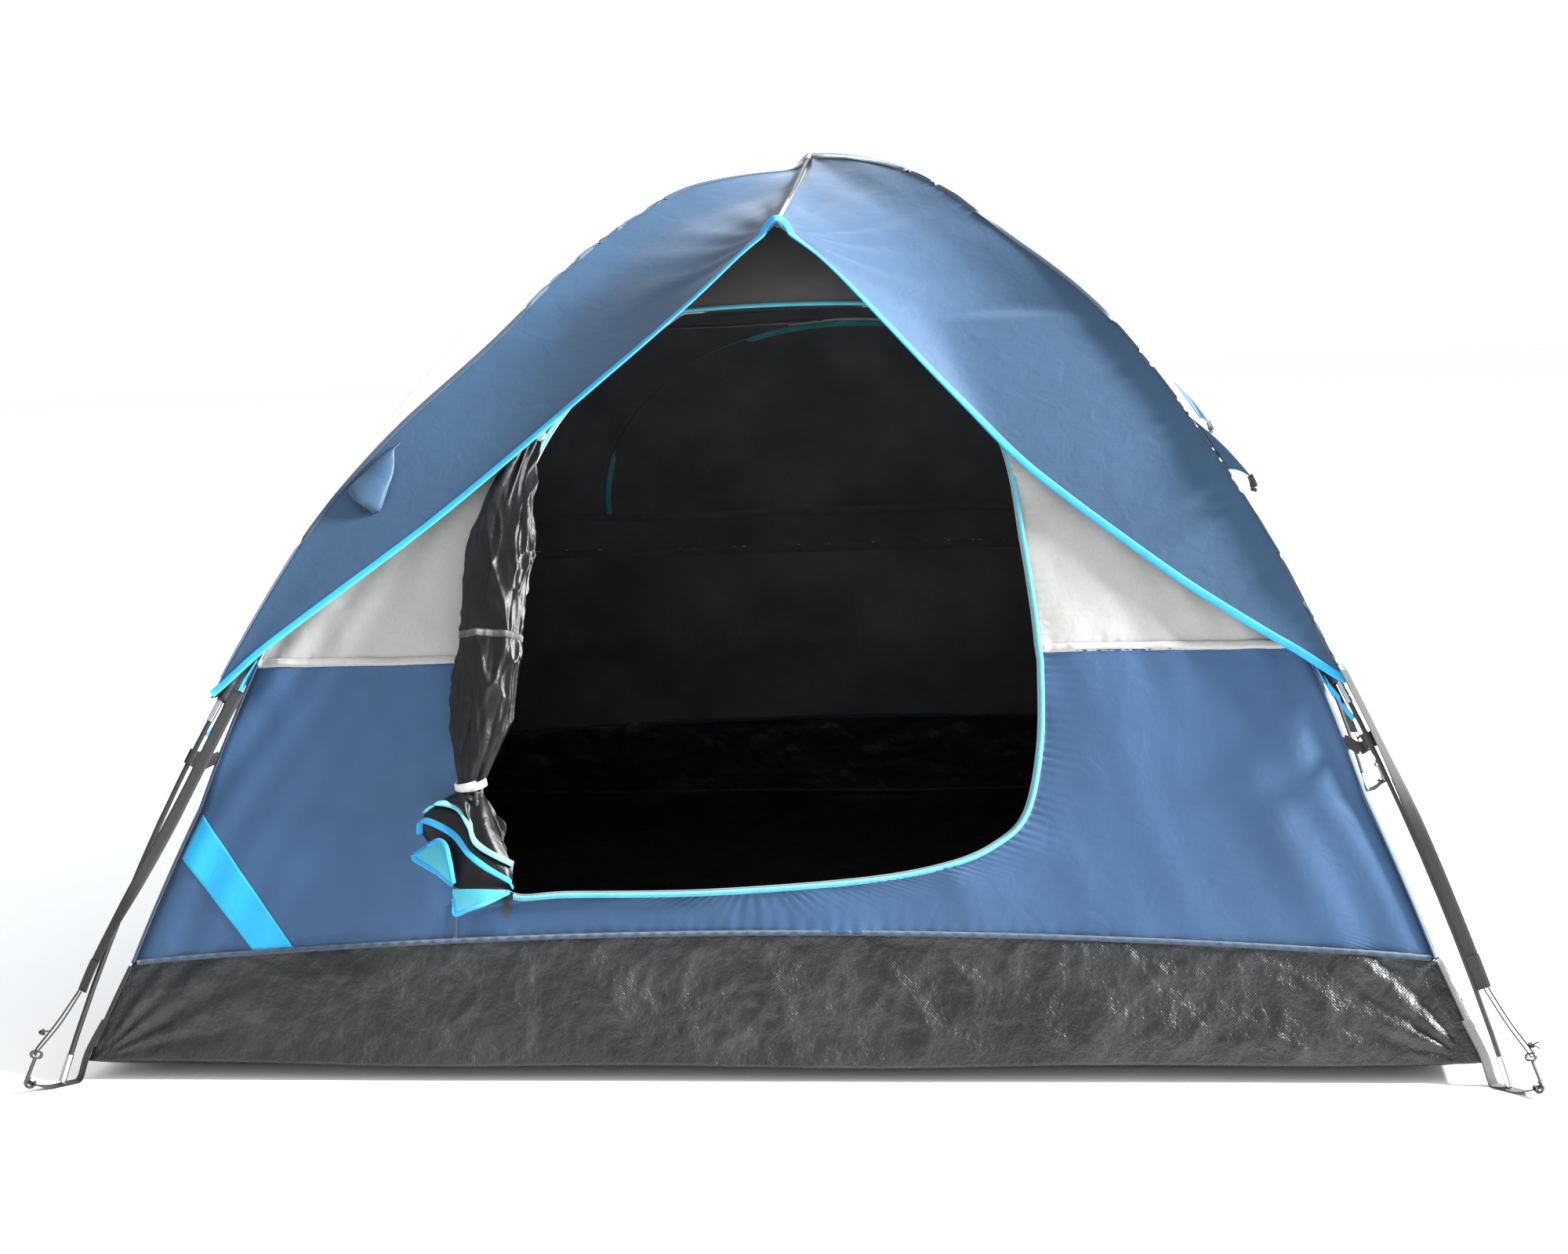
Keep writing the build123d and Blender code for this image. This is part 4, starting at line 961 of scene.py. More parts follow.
def guy_tab(corner, hand):
    """Grid of a guying tab's cloth that stands off the pole's seam, and the line of its webbing tip."""
    a, b = (np.array(arch(float(arch_t(z, FLY_OUT)), FLY_OUT + 0.001)) for z in TAB_SEWN_Z)
    stand = FLY_OUT + (0.026 if corner.startswith("front") else 0.010)
    tip = np.array(arch(float(arch_t(0.850, stand)), stand))
    v = np.linspace(0, 1, 26)[:, None]
    h = np.linspace(0, 1, 16)[None, :]
    inner = a[None, None] * (1 - v[..., None]) + b[None, None] * v[..., None]
    bow = 0.006 * np.sin(math.pi * v) * (1 - 0.2 * v)
    edge = np.stack([a[0] + (tip[0] - a[0]) * v + bow, a[1] + (tip[1] - a[1]) * v + bow * 0.6], -1)
    flat = inner * (1 - h[..., None]) + edge * h[..., None]
    flat[..., 1] += 0.006 * np.sin(math.pi * h) * v ** 3
    drift = hand * (0.006 * h * v + 0.002 * np.sin(h * 5 + v * 3) * v)
    p = np.stack([flat[..., 0], np.broadcast_to(drift, flat[..., 0].shape), flat[..., 1]], -1)
    end = np.array([[-0.004, 0.006, 0.005], [0.001, 0.006, -0.004], [0.003, 0.007, -0.012],
                    [0.002, 0.007, -0.019]])
    end = end * np.array([1, hand, 1]) + np.array([tip[0], 0, tip[1]])
    return diagonal(p, corner), diagonal(end, corner)


def left_guy_tab():
    """The left front tab, which hangs folded over to the left."""
    q = [np.array(c) for c in TAB_LEFT_OUTLINE]
    v = np.linspace(0, 1, 26)[:, None]
    h = np.linspace(0, 1, 16)[None, :]
    line_l = curve([q[0], (q[0] + q[2]) / 2 + np.array([-0.002, 0, 0.002]), q[2], q[3]], 26)
    line_r = curve([q[1], (q[1] + q[5]) / 2 + np.array([0.008, 0, 0.004]), q[5],
                    q[4] + np.array([0.006, 0, 0])], 26)
    face = unit(np.array([-0.45, -0.70, 0.55]))
    lift = 0.005 + 0.014 * np.sin(math.pi * h) ** 0.7 * v ** 0.8 + 0.003 * np.sin(v * 8 + h * 3) * v
    p = line_l[:, None] * (1 - h[..., None]) + line_r[:, None] * h[..., None] + face * lift[..., None]
    low = (q[3] + q[4]) / 2 + face * 0.006
    return p, low + np.array([[0.002, 0, 0.008], [0.004, -0.004, 0.0], [0.008, -0.006, -0.007]])


def cord(name, path, radius, corner, closed=False):
    """A piece of elastic along a path in a corner's own directions."""
    rings = tube_rings(diagonal(path, corner), radius, 8, closed)
    return loft(name, rings, ["elastic"], closed_path=closed)


def elastic_loop(k, corner, hand):
    """Elastic from the strap to the hook's eye and back, knotted."""
    top_u = float(arch_u(STRAP_Z, 0.013)) + 0.0035
    eye_u, eye_z = FOOT * SQ2 + 0.036, 0.056
    bend = 0.0048
    half_u, half_z = 0.5 * (top_u + eye_u), 0.5 * (STRAP_Z + eye_z)
    run = [(top_u, bend, STRAP_Z + 0.002), (half_u - 0.001, bend * 1.15, half_z),
           (eye_u - 0.001, bend, eye_z + 0.006), (eye_u, 0.0, eye_z), (eye_u - 0.001, -bend, eye_z + 0.006),
           (half_u + 0.0005, -bend * 1.1, half_z), (top_u, -bend, STRAP_Z + 0.002)]
    parts = [cord(f"loop_{k}", curve(run, 110), 0.0014, corner)]
    if hand > 0:
        at = np.array([eye_u - 0.004, bend + 0.0006, eye_z + 0.014])
        tails = ((0.012, 0.003, 0.007), (0.014, 0.001, -0.001))
    else:
        at = np.array([eye_u - 0.010, bend, eye_z + 0.034])
        tails = ((-0.013, -0.004, -0.002),)
    angle = np.linspace(0, 2 * math.pi, 60, endpoint=False)
    ring = np.stack([np.cos(angle) + 1.7 * np.cos(2 * angle), 0.9 * np.sin(3 * angle),
                     np.sin(angle) - 1.7 * np.sin(2 * angle)], -1)
    parts.append(cord(f"knot_{k}", at + ring * 0.0016, 0.0015, corner, closed=True))
    for tail in tails:
        middle = np.array(tail) * 0.5 + np.array([0, 0.001, 0.001])
        line = curve([at, at + middle, at + np.array(tail)], 14)
        parts.append(cord(f"tail_{k}_{tail[0]}", line, 0.0013, corner))
    return parts


def corner_webbing(corner):
    """Webbing from the wall's corner seam under the pole foot, with an eyelet, to its wrap on the bar."""
    low = float(arch_u(0.040, 0.0008 - 0.0304)) + 0.001
    high = float(arch_u(0.086, 0.0008 - 0.0400)) + 0.001
    pin = FOOT * SQ2 - 0.0015
    bar_u, bar_z = FOOT * SQ2 + 0.049, 0.0150
    web = curve([(high, 0, 0.086), (low, 0, 0.042), (pin - 0.026, 0, 0.0025), (pin - 0.006, 0, 0.0016),
                 (pin + 0.018, 0, 0.0016), (bar_u - 0.010, 0, 0.0085), (bar_u, 0, bar_z)], 90)
    web[:, 2] = np.maximum(web[:, 2], 0.0014)
    slope = along_path(web)
    normal = np.stack([-slope[:, 2], 0 * slope[:, 0], slope[:, 0]], -1)
    width = 0.0215 - 0.0105 * smooth(web[:, 0], pin + 0.014, bar_u)
    name = f"corner_webbing_tape_{corner}"
    tape_piece = ribbon(name, diagonal(web, corner), diagonal(normal, corner), width, 0.0019, "webbing")
    angle = np.linspace(0, 2 * math.pi, 60, endpoint=False)
    eye = np.stack([pin + 0.0052 * np.cos(angle), 0.0052 * np.sin(angle), 0.0030 + 0 * angle], -1)
    rings = tube_rings(diagonal(eye, corner), 0.0009, 8, True)
    eyelet = loft("eyelet", rings, ["zip_metal"], closed_path=True)
    turns = np.linspace(0, 2 * math.pi, 40, endpoint=False)
    normal = np.stack([np.cos(turns), 0 * turns, np.sin(turns)], -1)
    around = np.array([bar_u, 0, bar_z]) + normal * 0.0026
    wrap = ribbon("wrap", diagonal(around, corner), diagonal(normal, corner), 0.0215, 0.0016, "webbing",
                  closed=True)
    o = joined(name, [tape_piece, eyelet, wrap])
    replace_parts(o, f"corner_webbing_{corner}")


def clip_strap(k, corner):
    """Webbing from the corner seam to the clip's neck, and its loop through the clip."""
    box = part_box(f"pole_clip_{corner}")
    z = (box[0].z + box[1].z) / 2
    root = float(arch_u(z, -np.interp(z, *zip(*GAPS)))) + 0.001
    neck = np.array(arch(float(arch_t(z)), -0.0215))
    t = np.linspace(0, 1, 24)
    strap = np.stack([root + (neck[0] - root) * t, 0.0012 * np.sin(t * 6 + k),
                      z - 0.002 + (neck[1] - z + 0.002) * t], -1)
    aside = np.array([0.0, 1.0, 0])
    strap = diagonal(strap, corner)
    parts = [ribbon(f"clip_strap_{k}", strap, diagonal(aside, corner), 0.0185, 0.0018, "webbing")]
    along = np.array(arch(float(arch_t(z - 0.005)))) - np.array(arch(float(arch_t(z + 0.005))))
    along = unit(np.array([along[0], 0, along[1]]))
    outwards = np.array([-along[2], 0, along[0]])
    centre_u, centre_z = arch(float(arch_t(z)), -0.0170)
    turns = np.linspace(0, 2 * math.pi, 30, endpoint=False)[:, None]
    normal = outwards * np.cos(turns) + aside * np.sin(turns)
    loop = np.array([centre_u, 0, centre_z]) + normal * 0.0046 + aside * (0.0012 * np.sin(turns))
    parts.append(ribbon(f"clip_loop_{k}", diagonal(loop, corner), diagonal(normal, corner), 0.0175, 0.0012,
                        "webbing", closed=True))
    return parts


def corner_pieces():
    straps, tabs, loops, clips = [], [], [], []
    for k, corner in enumerate(CORNERS):
        hand = 1 if corner in ("front_right", "rear_left") else -1
        straps += corner_strap(k, corner, hand)
        tabs.append(left_guy_tab() if corner == "front_left" else guy_tab(corner, hand))
        loops += elastic_loop(k, corner, hand)
        corner_webbing(corner)
        clips += clip_strap(k, corner)
    for name, parts, slot, node in (("fly_corner_strap_webbing", straps, "black_webbing", "fly_corner_straps"),
                                    ("fly_elastic_loops_knotted", loops, "elastic_cord", "fly_elastic_loops"),
                                    ("clip_strap_webbing", clips, "black_webbing", "clip_straps")):
        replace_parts(joined(name, parts), node)
    o = cloth("fly_guy_tab_cloth", [grid for grid, _ in tabs], "fly_navy", "fly_navy", thick=0.0022)
    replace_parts(o, "fly_guy_tabs")
    tips = []
    for k, (_, line) in enumerate(tabs):
        p = curve(line, 30)
        across = unit(np.cross(along_path(p), np.array([0, 0, 1.0])))
        tips.append(ribbon(f"tip_{k}", p, across, 0.012, 0.0026, "webbing"))
    joined("fly_guy_tab_tips", tips)


def sleeve(k, corner):
    """A sleeve round one arm of a pole, gathered along its length."""
    t = np.linspace(float(arch_t(SLEEVE_LOW_Z)), 0.14, 260)
    u, z = arch(t, -0.001)
    lift = (-0.005 if corner in ("front_left", "rear_right") else 0.005) * np.clip(1 - u / 0.6, 0, 1)
    path = np.stack([u, 0 * u, z + lift], -1)
    run = np.r_[0, np.cumsum(np.linalg.norm(np.diff(path, axis=0), axis=1))]
    angle = np.linspace(0, 2 * math.pi, SLEEVE_AROUND, endpoint=False)
    tangent = along_path(path)
    out = np.stack([-tangent[:, 2], 0 * tangent[:, 0], tangent[:, 0]], -1)
    out *= np.sign(out[:, 2:3])
    gather = np.sin(run * 300 + 2.5 * noise(run * 30, 0 * run, k))[:, None] * 0.0005
    gather = gather + noise(run[:, None] * 60, np.sin(angle)[None, :] * 2, k) * 0.0008
    radius = 0.0072 + gather + 0.001 * np.exp(-run / 0.03)[:, None]
    hang = 0.0036 * (1 - np.cos(angle)) / 2
    rings = path[:, None, :] + out[:, None, :] * ((radius - 0.001) * np.cos(angle) - hang)[..., None]
    rings[..., 1] += radius * np.sin(angle)
    uv = np.stack(np.broadcast_arrays(run[:, None], angle[None, :] * 0.009), -1).reshape(-1, 2)
    faces = grid_faces(len(run), SLEEVE_AROUND, 0, wrap=True)
    o = make_object(f"pole_sleeve_cloth_{corner}", diagonal(rings, corner).reshape(-1, 3), faces, uv,
                    ["black_cloth", "black_cloth"], "tent")
    solid = o.modifiers.new("solid", "SOLIDIFY")
    solid.thickness = 0.0009
    solid.offset = 0.0
    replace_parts(o, f"pole_sleeve_{corner}")


def sleeve_fin(k, corner):
    """The sleeve's cloth between the pole and the wall's corner seam, with cyan binding at its lower end."""
    v = np.linspace(0, 1, 120)[:, None]
    h = np.linspace(0, 1, 40)[None, :]
    z_pole, z_wall = (low + (high - low) * v for low, high in (FIN_POLE_Z, FIN_WALL_Z))
    pole_u, pole_z = arch(arch_t(z_pole[:, 0]), -0.0085)
    wall_u = wall_x(z_wall[:, 0]) * SQ2
    ease = h ** 1.1
    u = pole_u[:, None] * (1 - ease) + (wall_u[:, None] + 0.0012) * ease
    z = pole_z[:, None] * (1 - h) + z_wall * h - 0.010 * np.sin(math.pi * h) * (1 - v)
    folds = np.sin(v * 34 + h * 4 + 2 * noise(v * 9, h * 2, k)) * 0.0038 + noise(v * 16, h * 4, k + 4) * 0.003
    aside = folds * np.sin(math.pi * np.clip(h, 0, 1)) ** 0.6
    p = diagonal(np.stack([u, aside, z], -1), corner)
    fin = cloth(f"pole_sleeve_fin_{corner}", [p], "black_cloth", "black_cloth", thick=0.0008)
    aside = diagonal(np.array([0, 1.0, 0]), corner)
    ribbon(f"pole_sleeve_binding_{corner}", p[0], aside, 0.0085, 0.0022, "cyan")


def wall_tape(name, side, x, z, out, width, thick, material, bow=0.0):
    """Tape that lies on a wall along the run (x, z), out metres off its outer face."""
    turn = SIDES[side]
    p, n = front_points(x, z, out), front_normal(x, z)
    return ribbon(name, turned(p, turn), turned(n, turn), width, thick, material, bow=bow)


def door_piping():
    """Piping round the door, with the zip's coil inside it."""
    right = curve(DOOR_EDGE_RIGHT, 200)
    left = curve(DOOR_EDGE_LEFT, 200)[::-1]
    low = curve(DOOR_EDGE_LOW, 420)
    top = np.stack([np.linspace(0.165, -0.165, 60), 1.132 + 0.004 * np.sin(np.linspace(0, math.pi, 60))], -1)
    run = resample(np.vstack([low, right[1:], top[1:-1], left[:-1]]), 900)
    run = np.array([run[(np.arange(-3, 4) + i) % 900].mean(0) for i in range(900)])
    p = front_points(run[:, 0], run[:, 1], 0.0022)
    n = front_normal(run[:, 0], run[:, 1])
    piping = ribbon("door_piping_tape", p, n, 0.0085, 0.0030, "teal", closed=True, bow=0.006)
    inwards = unit(np.cross(n, along_path(p, True)))
    inwards *= np.sign((inwards * (DOOR_MIDDLE - p)).sum(-1, keepdims=True))
    rings = tube_rings(p - n * 0.0016 + inwards * 0.0052, 0.0016, 8, True)
    coil = loft("coil", rings, ["grey_plastic"], closed_path=True)
    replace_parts(joined("door_piping_tape", [piping, coil]), "door_zip_piping")


def wall_seams():
    """Tapes on the inner tent's seams: between lower and upper wall, over the tub, at corners and roof."""
    middle, tub = [], []
    for k, side in enumerate(SIDES):
        x = np.linspace(-1, 1, 220) * (wall_x(SEAM_Z) - 0.002)
        for j, keep in enumerate([x < -0.457, x > 0.424] if side == "front" else [np.ones(len(x), bool)]):
            z = SEAM_Z + 0 * x[keep]
            p = front_points(x[keep], z + 0.002, wall_folds(x[keep], z, WALL_SEED[side]) + 0.0008)
            p, n = (turned(q, SIDES[side]) for q in (p, front_normal(x[keep], z)))
            middle.append(ribbon(f"seam_{k}_{j}", p, n, 0.011, 0.0032, "pale_tape"))
        s = np.linspace(0.004, 0.996, 300)
        z = tub_top(s)
        x = (2 * s - 1) * wall_x(z)
        out = 0.0016 + 0.0008 * np.sin(x * 260)
        tub.append(wall_tape(f"tub_seam_{k}", side, x, z, out, 0.0085, 0.0050, "navy_tape"))
    joined("wall_seam_tapes", middle)
    joined("tub_seam_tapes", tub)
    lower, upper = [], []
    for k, corner in enumerate(CORNERS):
        for z0, z1, material, bag in ((0.05, SEAM_Z, "navy_tape", lower), (SEAM_Z, ROOF_Z, "pale_tape", upper)):
            z = np.linspace(z0, z1, 90)
            u = wall_x(z) * SQ2 + 0.0006
            p = diagonal(np.stack([u, 0 * u, z], -1), corner)
            on_tub = z < tub_top(0.0)
            if on_tub.any():
                face = diagonal(np.array([1.0, 0, 0.2]), corner)
                bag.append(ribbon(f"corner_low_{k}", p[on_tub], face, 0.010, 0.0036, "webbing"))
            face = diagonal(np.array([1.0, 0, 0.3]), corner)
            bag.append(ribbon(f"corner_seam_{k}", p[~on_tub], face, 0.0080, 0.0030, material))
    joined("wall_corner_seams_lower", lower)
    joined("wall_corner_seams_upper", upper)
    x = np.linspace(-1, 1, 120) * (wall_x(ROOF_Z) - 0.001)
    roof = [wall_tape("roof_seam", side, x, ROOF_Z + 0 * x, 0.0008, 0.010, 0.0026, "webbing") for side in SIDES]
    joined("roof_seam_tapes", roof)


def front_patch():
    """Cyan patch at the left of the front lower wall, and the short seam beside the door."""
    a, b, c, d = (np.array(corner) for corner in PATCH_OUTLINE)
    v = np.linspace(0, 1, 40)[:, None, None]
    h = np.linspace(0, 1, 16)[None, :, None]
    flat = (a * (1 - h) + b * h) * (1 - v) + (d * (1 - h) + c * h) * v
    x = np.maximum(flat[..., 0], -wall_x(flat[..., 1]) + 0.001)
    z = np.maximum(flat[..., 1], tub_top((x / wall_x(flat[..., 1]) + 1) / 2) + 0.004)
    p = front_points(x, z, wall_folds(x, z, WALL_SEED["front"]) + 0.0019)
    patch = cloth("front_corner_patch", [p], "cyan_cloth", "cyan_cloth", thick=0.0010)
    z = np.linspace(0.254, float(tub_top(0.27)) + 0.003, 30)
    x = -0.475 - 0.004 * (z - 0.2)
    p = front_points(x, z, 0.0030 + wall_folds(x, z, WALL_SEED["front"]))
    ribbon("wall_short_seam", p, np.array([0, -1.0, 0.1]), 0.007, 0.0016, "navy_tape")


def window_pieces():
    """The rear window's panel, its zip and the flap over the zip."""
    z = np.linspace(WINDOW_Z - 0.006, WINDOW_TOP - 0.0005, 60)[:, None]
    x = np.linspace(-1, 1, 120)[None, :] * window_arc(z, WINDOW_HALF + 0.004)
    z = np.broadcast_to(z, x.shape)
    p = turned(front_points(x, z, wall_folds(x, z, WALL_SEED["rear"]) - LAP), SIDES["rear"])
    o = cloth("rear_window_cloth", [p], "wall_white", "coated")
    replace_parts(o, "rear_window_panel")
    angle = np.linspace(math.pi, 0, 260)
    x = (WINDOW_HALF - 0.004) * np.cos(angle)
    z = WINDOW_Z + (WINDOW_TOP - WINDOW_Z - 0.004) * np.sin(angle)
    zip_tape = wall_tape("rear_window_zip_tape", "rear", x, z, -0.0032, 0.012, 0.0026, "teal_dark")
    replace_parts(zip_tape, "rear_window_zip")
    wall_tape("rear_window_rain_flap", "rear", x, z, 0.0024, 0.020, 0.0026, "pale_tape",
              bow=0.004)


def fold_rings(rows, pleats, depth, seed, twist):
    """Gathered cloth as a closed skin: an oval along a run of rows (x, z, half width, half depth, out)."""
    path = front_points(rows[:, 0], rows[:, 1], rows[:, 4])
    tangent = along_path(path)
    side = unit(np.cross(tangent, front_normal(rows[:, 0], rows[:, 1])))
    up = unit(np.cross(side, tangent))
    a = ROLL_ANGLES[None, :]
    v = np.linspace(0, 1, len(path))[:, None]
    phase = a * pleats + twist * v + 1.3 * noise(a * 1.2 + 0 * v, v * 4 + 0 * a, seed)
    groove = np.abs(np.sin(phase / 2)) ** 0.6
    r = 1 - depth[:, None] * (1 - groove) + 0.10 * noise(np.cos(a) * 2 + 4, np.sin(a) * 2 + v * 5, seed + 1)
    r = r + 0.05 * noise(np.cos(a) * 6, np.sin(a) * 6 + v * 14, seed + 2)
    x = rows[:, 2][:, None] * np.cos(a) * r
    y = rows[:, 3][:, None] * np.sin(a) * r
    return path, path[:, None, :] + side[:, None, :] * x[..., None] + up[:, None, :] * y[..., None]


def roll_column():
    """The gathered column of the rolled door with its seam, and the run of its middle."""
    rows = curve(ROLL_ROWS, 220)
    v = np.linspace(0, 1, 220)
    depth = 0.14 + 0.30 * smooth(v, 0.70, 0.97) + 0.20 * smooth(0.35 - v, 0, 0.35)
    path, rings = fold_rings(rows, 5, depth, 5.0, 1.5)
    a = ROLL_ANGLES[None, :]
    v = v[:, None]
    centre = rings.mean(1, keepdims=True)
    crumple = (creases(np.cos(a) * 1.6 + 2.5 * v, v * 5.5 - np.sin(a) * 1.2, 3.0, 2) - 0.45) * 0.0110
    crumple = crumple * smooth(v, 0.0, 0.08) * smooth(1 - v, 0.02, 0.2)
    rings = rings + unit(rings - centre) * crumple[..., None]
    column = loft("door_roll_cloth", rings, ["roll_cloth"], "door_roll")
    k = int(np.argmin(np.abs(rows[:, 1] - ROLL_SEAM_Z)))
    belt = rings[k] + (rings[k] - centre[k]) * 0.004
    outwards = unit(belt - belt.mean(0))
    seam = ribbon("roll_seam", belt, outwards, 0.012, 0.0014, "roll_tape", "door_roll", closed=True)
    return [column, seam], path


def roll_hem(tie_at):
    """The bound hem that hangs folded below the tie: the sheets of cloth and their bindings."""
    lines = {}
    for name, points in HEM_LINES.items():
        q = np.array(points)
        lines[name] = curve(front_points(q[:, 0], q[:, 2], q[:, 1]), 160)
    s = np.linspace(0, 1, 160)
    gather = tie_at + np.stack([-0.017 * np.cos(s * math.pi), -0.012 * np.sin(s * math.pi), -0.004 - 0 * s], -1)
    in_front = np.array([0, 1.0, 0])
    first, second, flap_in, flap_out = (lines[name] for name in ("first", "second", "flap_in", "flap_out"))
    spans = [
        (gather, first, "roll_cloth", 0.008),
        (first + in_front * 0.007, second, "roll_cloth", 0.004),
        (second + in_front * 0.004, lines["skirt"], "roll_cloth", -0.003),
        (flap_in, flap_out, "teal_cloth", 0.002),
        (lines["tail_top"], lines["tail_low"], "teal_cloth", 0.002),
    ]
    sheets, bindings = [], []
    v = np.linspace(0, 1, 50)[:, None, None]
    belly = np.sin(math.pi * v[..., 0]) ** 0.9
    for k, (top, low, tone, bulge) in enumerate(spans):
        sheet = top[None] * (1 - v) + low[None] * v
        sheet[..., 1] -= belly * bulge
        if k == 0:
            sheet[..., 1] += np.sin(s * 13)[None, :] * belly * 0.0045
            sheet[..., 0] += noise(s[None, :] * 5, v[..., 0] * 2, 4) * 0.004 * belly
        sheets.append(cloth(f"door_hem_fold_{k}", [sheet], tone, tone, "door_roll", thick=0.0009))
    for k, (hem, tone, width) in enumerate(((first, "cyan_pale", 0.0115), (second, "cyan", 0.0115),
                                            (flap_out, "cyan", 0.008), (flap_in, "cyan", 0.008),
                                            (lines["tail_low"], "cyan", 0.008))):
        out = unit(np.cross(along_path(hem), hem - tie_at))
        out *= np.where(out[:, 1:2] > 0, -1.0, 1.0)
        path = hem + out * 0.0008
        bindings.append(ribbon(f"hem_binding_{k}", path, out, width, 0.0030, tone, "door_roll"))
    return sheets, bindings


def roll_tie(tie_at):
    """The tie band round the roll with its lapped end, the toggle's barrel and the loop that holds it."""
    angle = np.linspace(0, 2 * math.pi, 70, endpoint=False)
    tie_z = tie_at[2] + 0.004
    ring = np.stack([tie_at[0] + 0.0235 * np.cos(angle), tie_at[1] + 0.0200 * np.sin(angle),
                     tie_z + 0.004 * np.sin(angle + 0.8)], -1)
    middle = ring.mean(0)
    band = ribbon("door_tie_tape", ring, unit(ring - middle), 0.0125, 0.0016, "tie", "door_roll",
                  closed=True)
    lap = ring[38:60] + unit(ring[38:60] - middle) * 0.0014
    lap[:, 2] += np.linspace(0, 0.004, 22)
    flap = ribbon("tie_lap", lap, unit(lap - middle), 0.0115, 0.0014, "tie", "door_roll")
    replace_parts(joined("door_tie_tape", [band, flap], "door_roll"), "door_tie_band")
    low, high = TOGGLE_BOX
    x, y, z = (low.x + high.x) / 2, (low.y + high.y) / 2, (low.z + high.z) / 2
    v = np.linspace(0, 1, 40)
    waist = 1 - 0.25 * np.exp(-((v - 0.5) / 0.06) ** 2)
    radius = 0.0036 * (0.78 + 0.22 * np.sin(math.pi * v)) * waist
    radius = radius * smooth(v, -0.12, 0.05) * smooth(1 - v, -0.12, 0.05)
    path = np.stack([x + 0 * v, y + 0 * v, low.z + (high.z - low.z) * v], -1)
    o = loft("door_toggle_barrel", tube_rings(path, radius, 20), ["plastic"], "toggle")
    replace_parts(o, "door_toggle")
    link = curve([(x, y + 0.003, z), (x - 0.002, y + 0.008, z + 0.002), (x - 0.006, y + 0.014, tie_z)], 20)
    loft("door_toggle_loop", tube_rings(link, 0.0013, 8), ["elastic"], "door_roll")


def door_roll_pieces():
    """The rolled and tied door: a gathered column, its tie, and the bound hem folded under it."""
    column, path = roll_column()
    tie_at = path[-6]
    sheets, bindings = roll_hem(tie_at)
    core = fold_rings(curve(CORE_ROWS, 90), 6, 0.40 - 0.25 * np.linspace(0, 1, 90), 15.0, 1.0)[1]
    column.append(loft("roll_core", core, ["roll_cloth"], "door_roll"))
    o = joined("door_roll_cloth", column, "door_roll")
    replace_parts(o, "door_roll")
    hem = joined("door_roll_hem_folds", sheets, "door_roll")
    joined("door_roll_hem_binding", bindings, "door_roll")
    roll_tie(tie_at)


def inner_tapes():
    """Black tapes inside, over the seams of the three closed walls."""
    parts = []
    for side in ("right", "rear", "left"):
        for z in [SEAM_Z - 0.002, ROOF_Z - 0.006] + ([WINDOW_Z - 0.003] if side == "rear" else []):
            x = np.linspace(-0.985, 0.985, 240) * wall_x(np.array(z))
            z = z + 0 * x
            out = wall_folds(x, z, WALL_SEED[side]) - INNER_TAPE_GAP
            parts.append(wall_tape("inner_tape", side, x, z, out, 0.018, 0.0012, "inner_tape"))
    joined("wall_inner_seam_tapes", parts)


fly_trim()
inner_tapes()
corner_pieces()
for index, place in enumerate(CORNERS):
    sleeve(index, place)
    sleeve_fin(index, place)
door_piping()
wall_seams()
front_patch()
window_pieces()
door_roll_pieces()


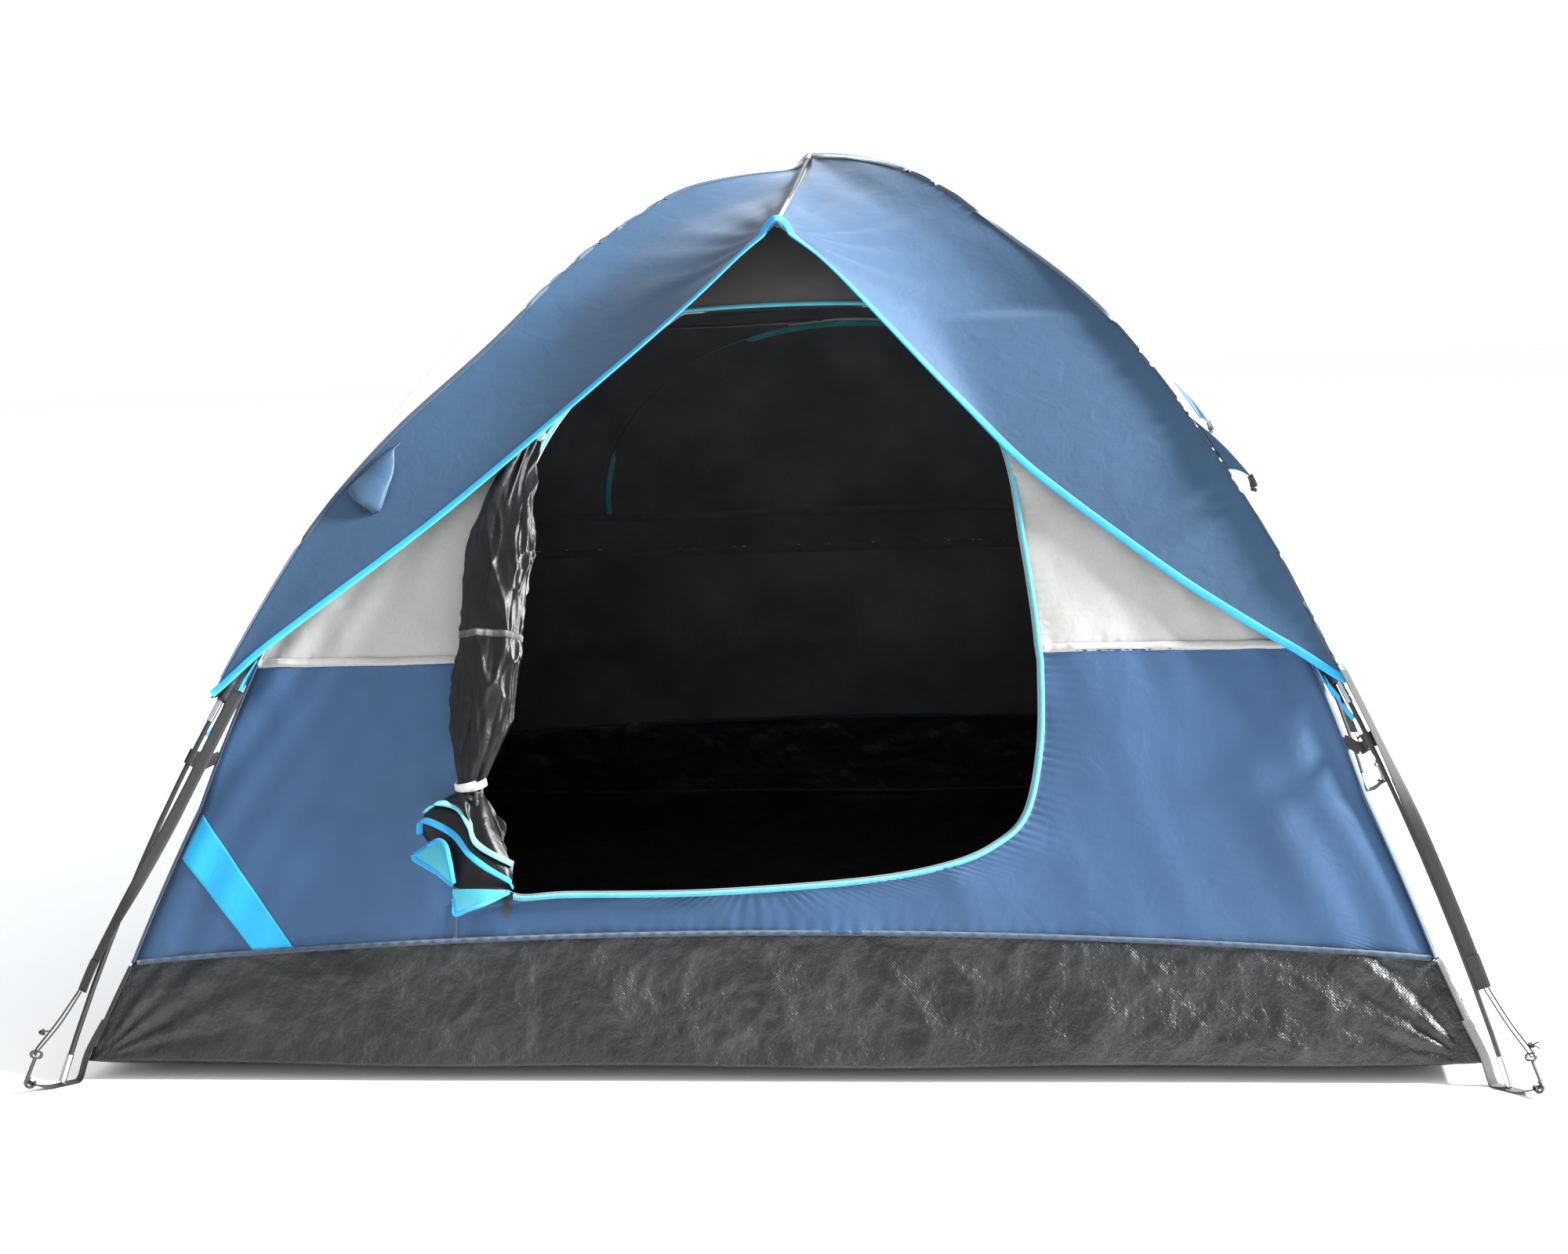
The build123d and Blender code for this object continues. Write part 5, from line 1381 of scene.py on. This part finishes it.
# ---------------------------------------------------------------- camera, light, floor
def add_camera():
    """The photo's own view, fitted to the pole feet, pole seams, apex and brow peak."""
    data = bpy.data.cameras.new("camera")
    data.sensor_width, data.lens, data.clip_end = 36.0, 59.15, 100.0
    camera = bpy.data.objects.new("camera", data)
    bpy.context.scene.collection.objects.link(camera)
    yaw, pitch, roll = -0.1341, -0.1313, -0.0384
    forward = np.array([math.sin(yaw) * math.cos(pitch), math.cos(yaw) * math.cos(pitch), math.sin(pitch)])
    flat = np.array([math.cos(yaw), -math.sin(yaw), 0.0])
    up = np.cross(flat, forward)
    basis = np.eye(4)
    basis[:3, 0] = flat * math.cos(roll) + up * math.sin(roll)
    basis[:3, 1] = up * math.cos(roll) - flat * math.sin(roll)
    basis[:3, 2] = -forward
    basis[:3, 3] = (0.5535, -4.7041, 1.1665)
    camera.matrix_world = Matrix([list(row) for row in basis])
    bpy.context.scene.camera = camera


def area_light(name, place, target, size, power):
    data = bpy.data.lights.new(name, "AREA")
    data.energy, data.size = power, size
    light = bpy.data.objects.new(name, data)
    bpy.context.scene.collection.objects.link(light)
    light.location = place
    direction = light.location - Vector(target)
    light.rotation_euler = direction.to_track_quat("Z", "Y").to_euler()


def add_stage():
    """White floor and surroundings, a strong low light from the right, and two weak soft lights."""
    m = Nodes("pale_floor")
    tone = m.ramp(m.noise(2.0, 4.0), 0.3, 0.7, (0.93,) * 3, (0.95,) * 3)
    mesh = bpy.data.meshes.new("floor")
    r, z = 30.0, -0.0005
    mesh.from_pydata([(-r, -r, z), (r, -r, z), (r, r, z), (-r, r, z)], [], [(0, 1, 2, 3)])
    mesh.materials.append(m.finish(Base_Color=tone, Roughness=0.85))
    floor = bpy.data.objects.new("floor", mesh)
    bpy.context.scene.collection.objects.link(floor)
    world = bpy.context.scene.world or bpy.data.worlds.new("studio")
    bpy.context.scene.world = world
    world.use_nodes = True
    background = world.node_tree.nodes["Background"]
    background.inputs["Color"].default_value = (0.97, 0.985, 1.0, 1)
    background.inputs["Strength"].default_value = 1.05
    bpy.context.scene.view_settings.view_transform = "Standard"
    area_light("key", (6.2, -0.4, 4.1), (0, 0, 0.8), 1.6, 3500)
    area_light("fill", (0.5, -7.5, 1.2), (0, 0, 0.6), 3.0, 60)
    area_light("back", (0.5, 4.5, 4.0), (0, 0, 0.8), 3.0, 60)


add_camera()
add_stage()
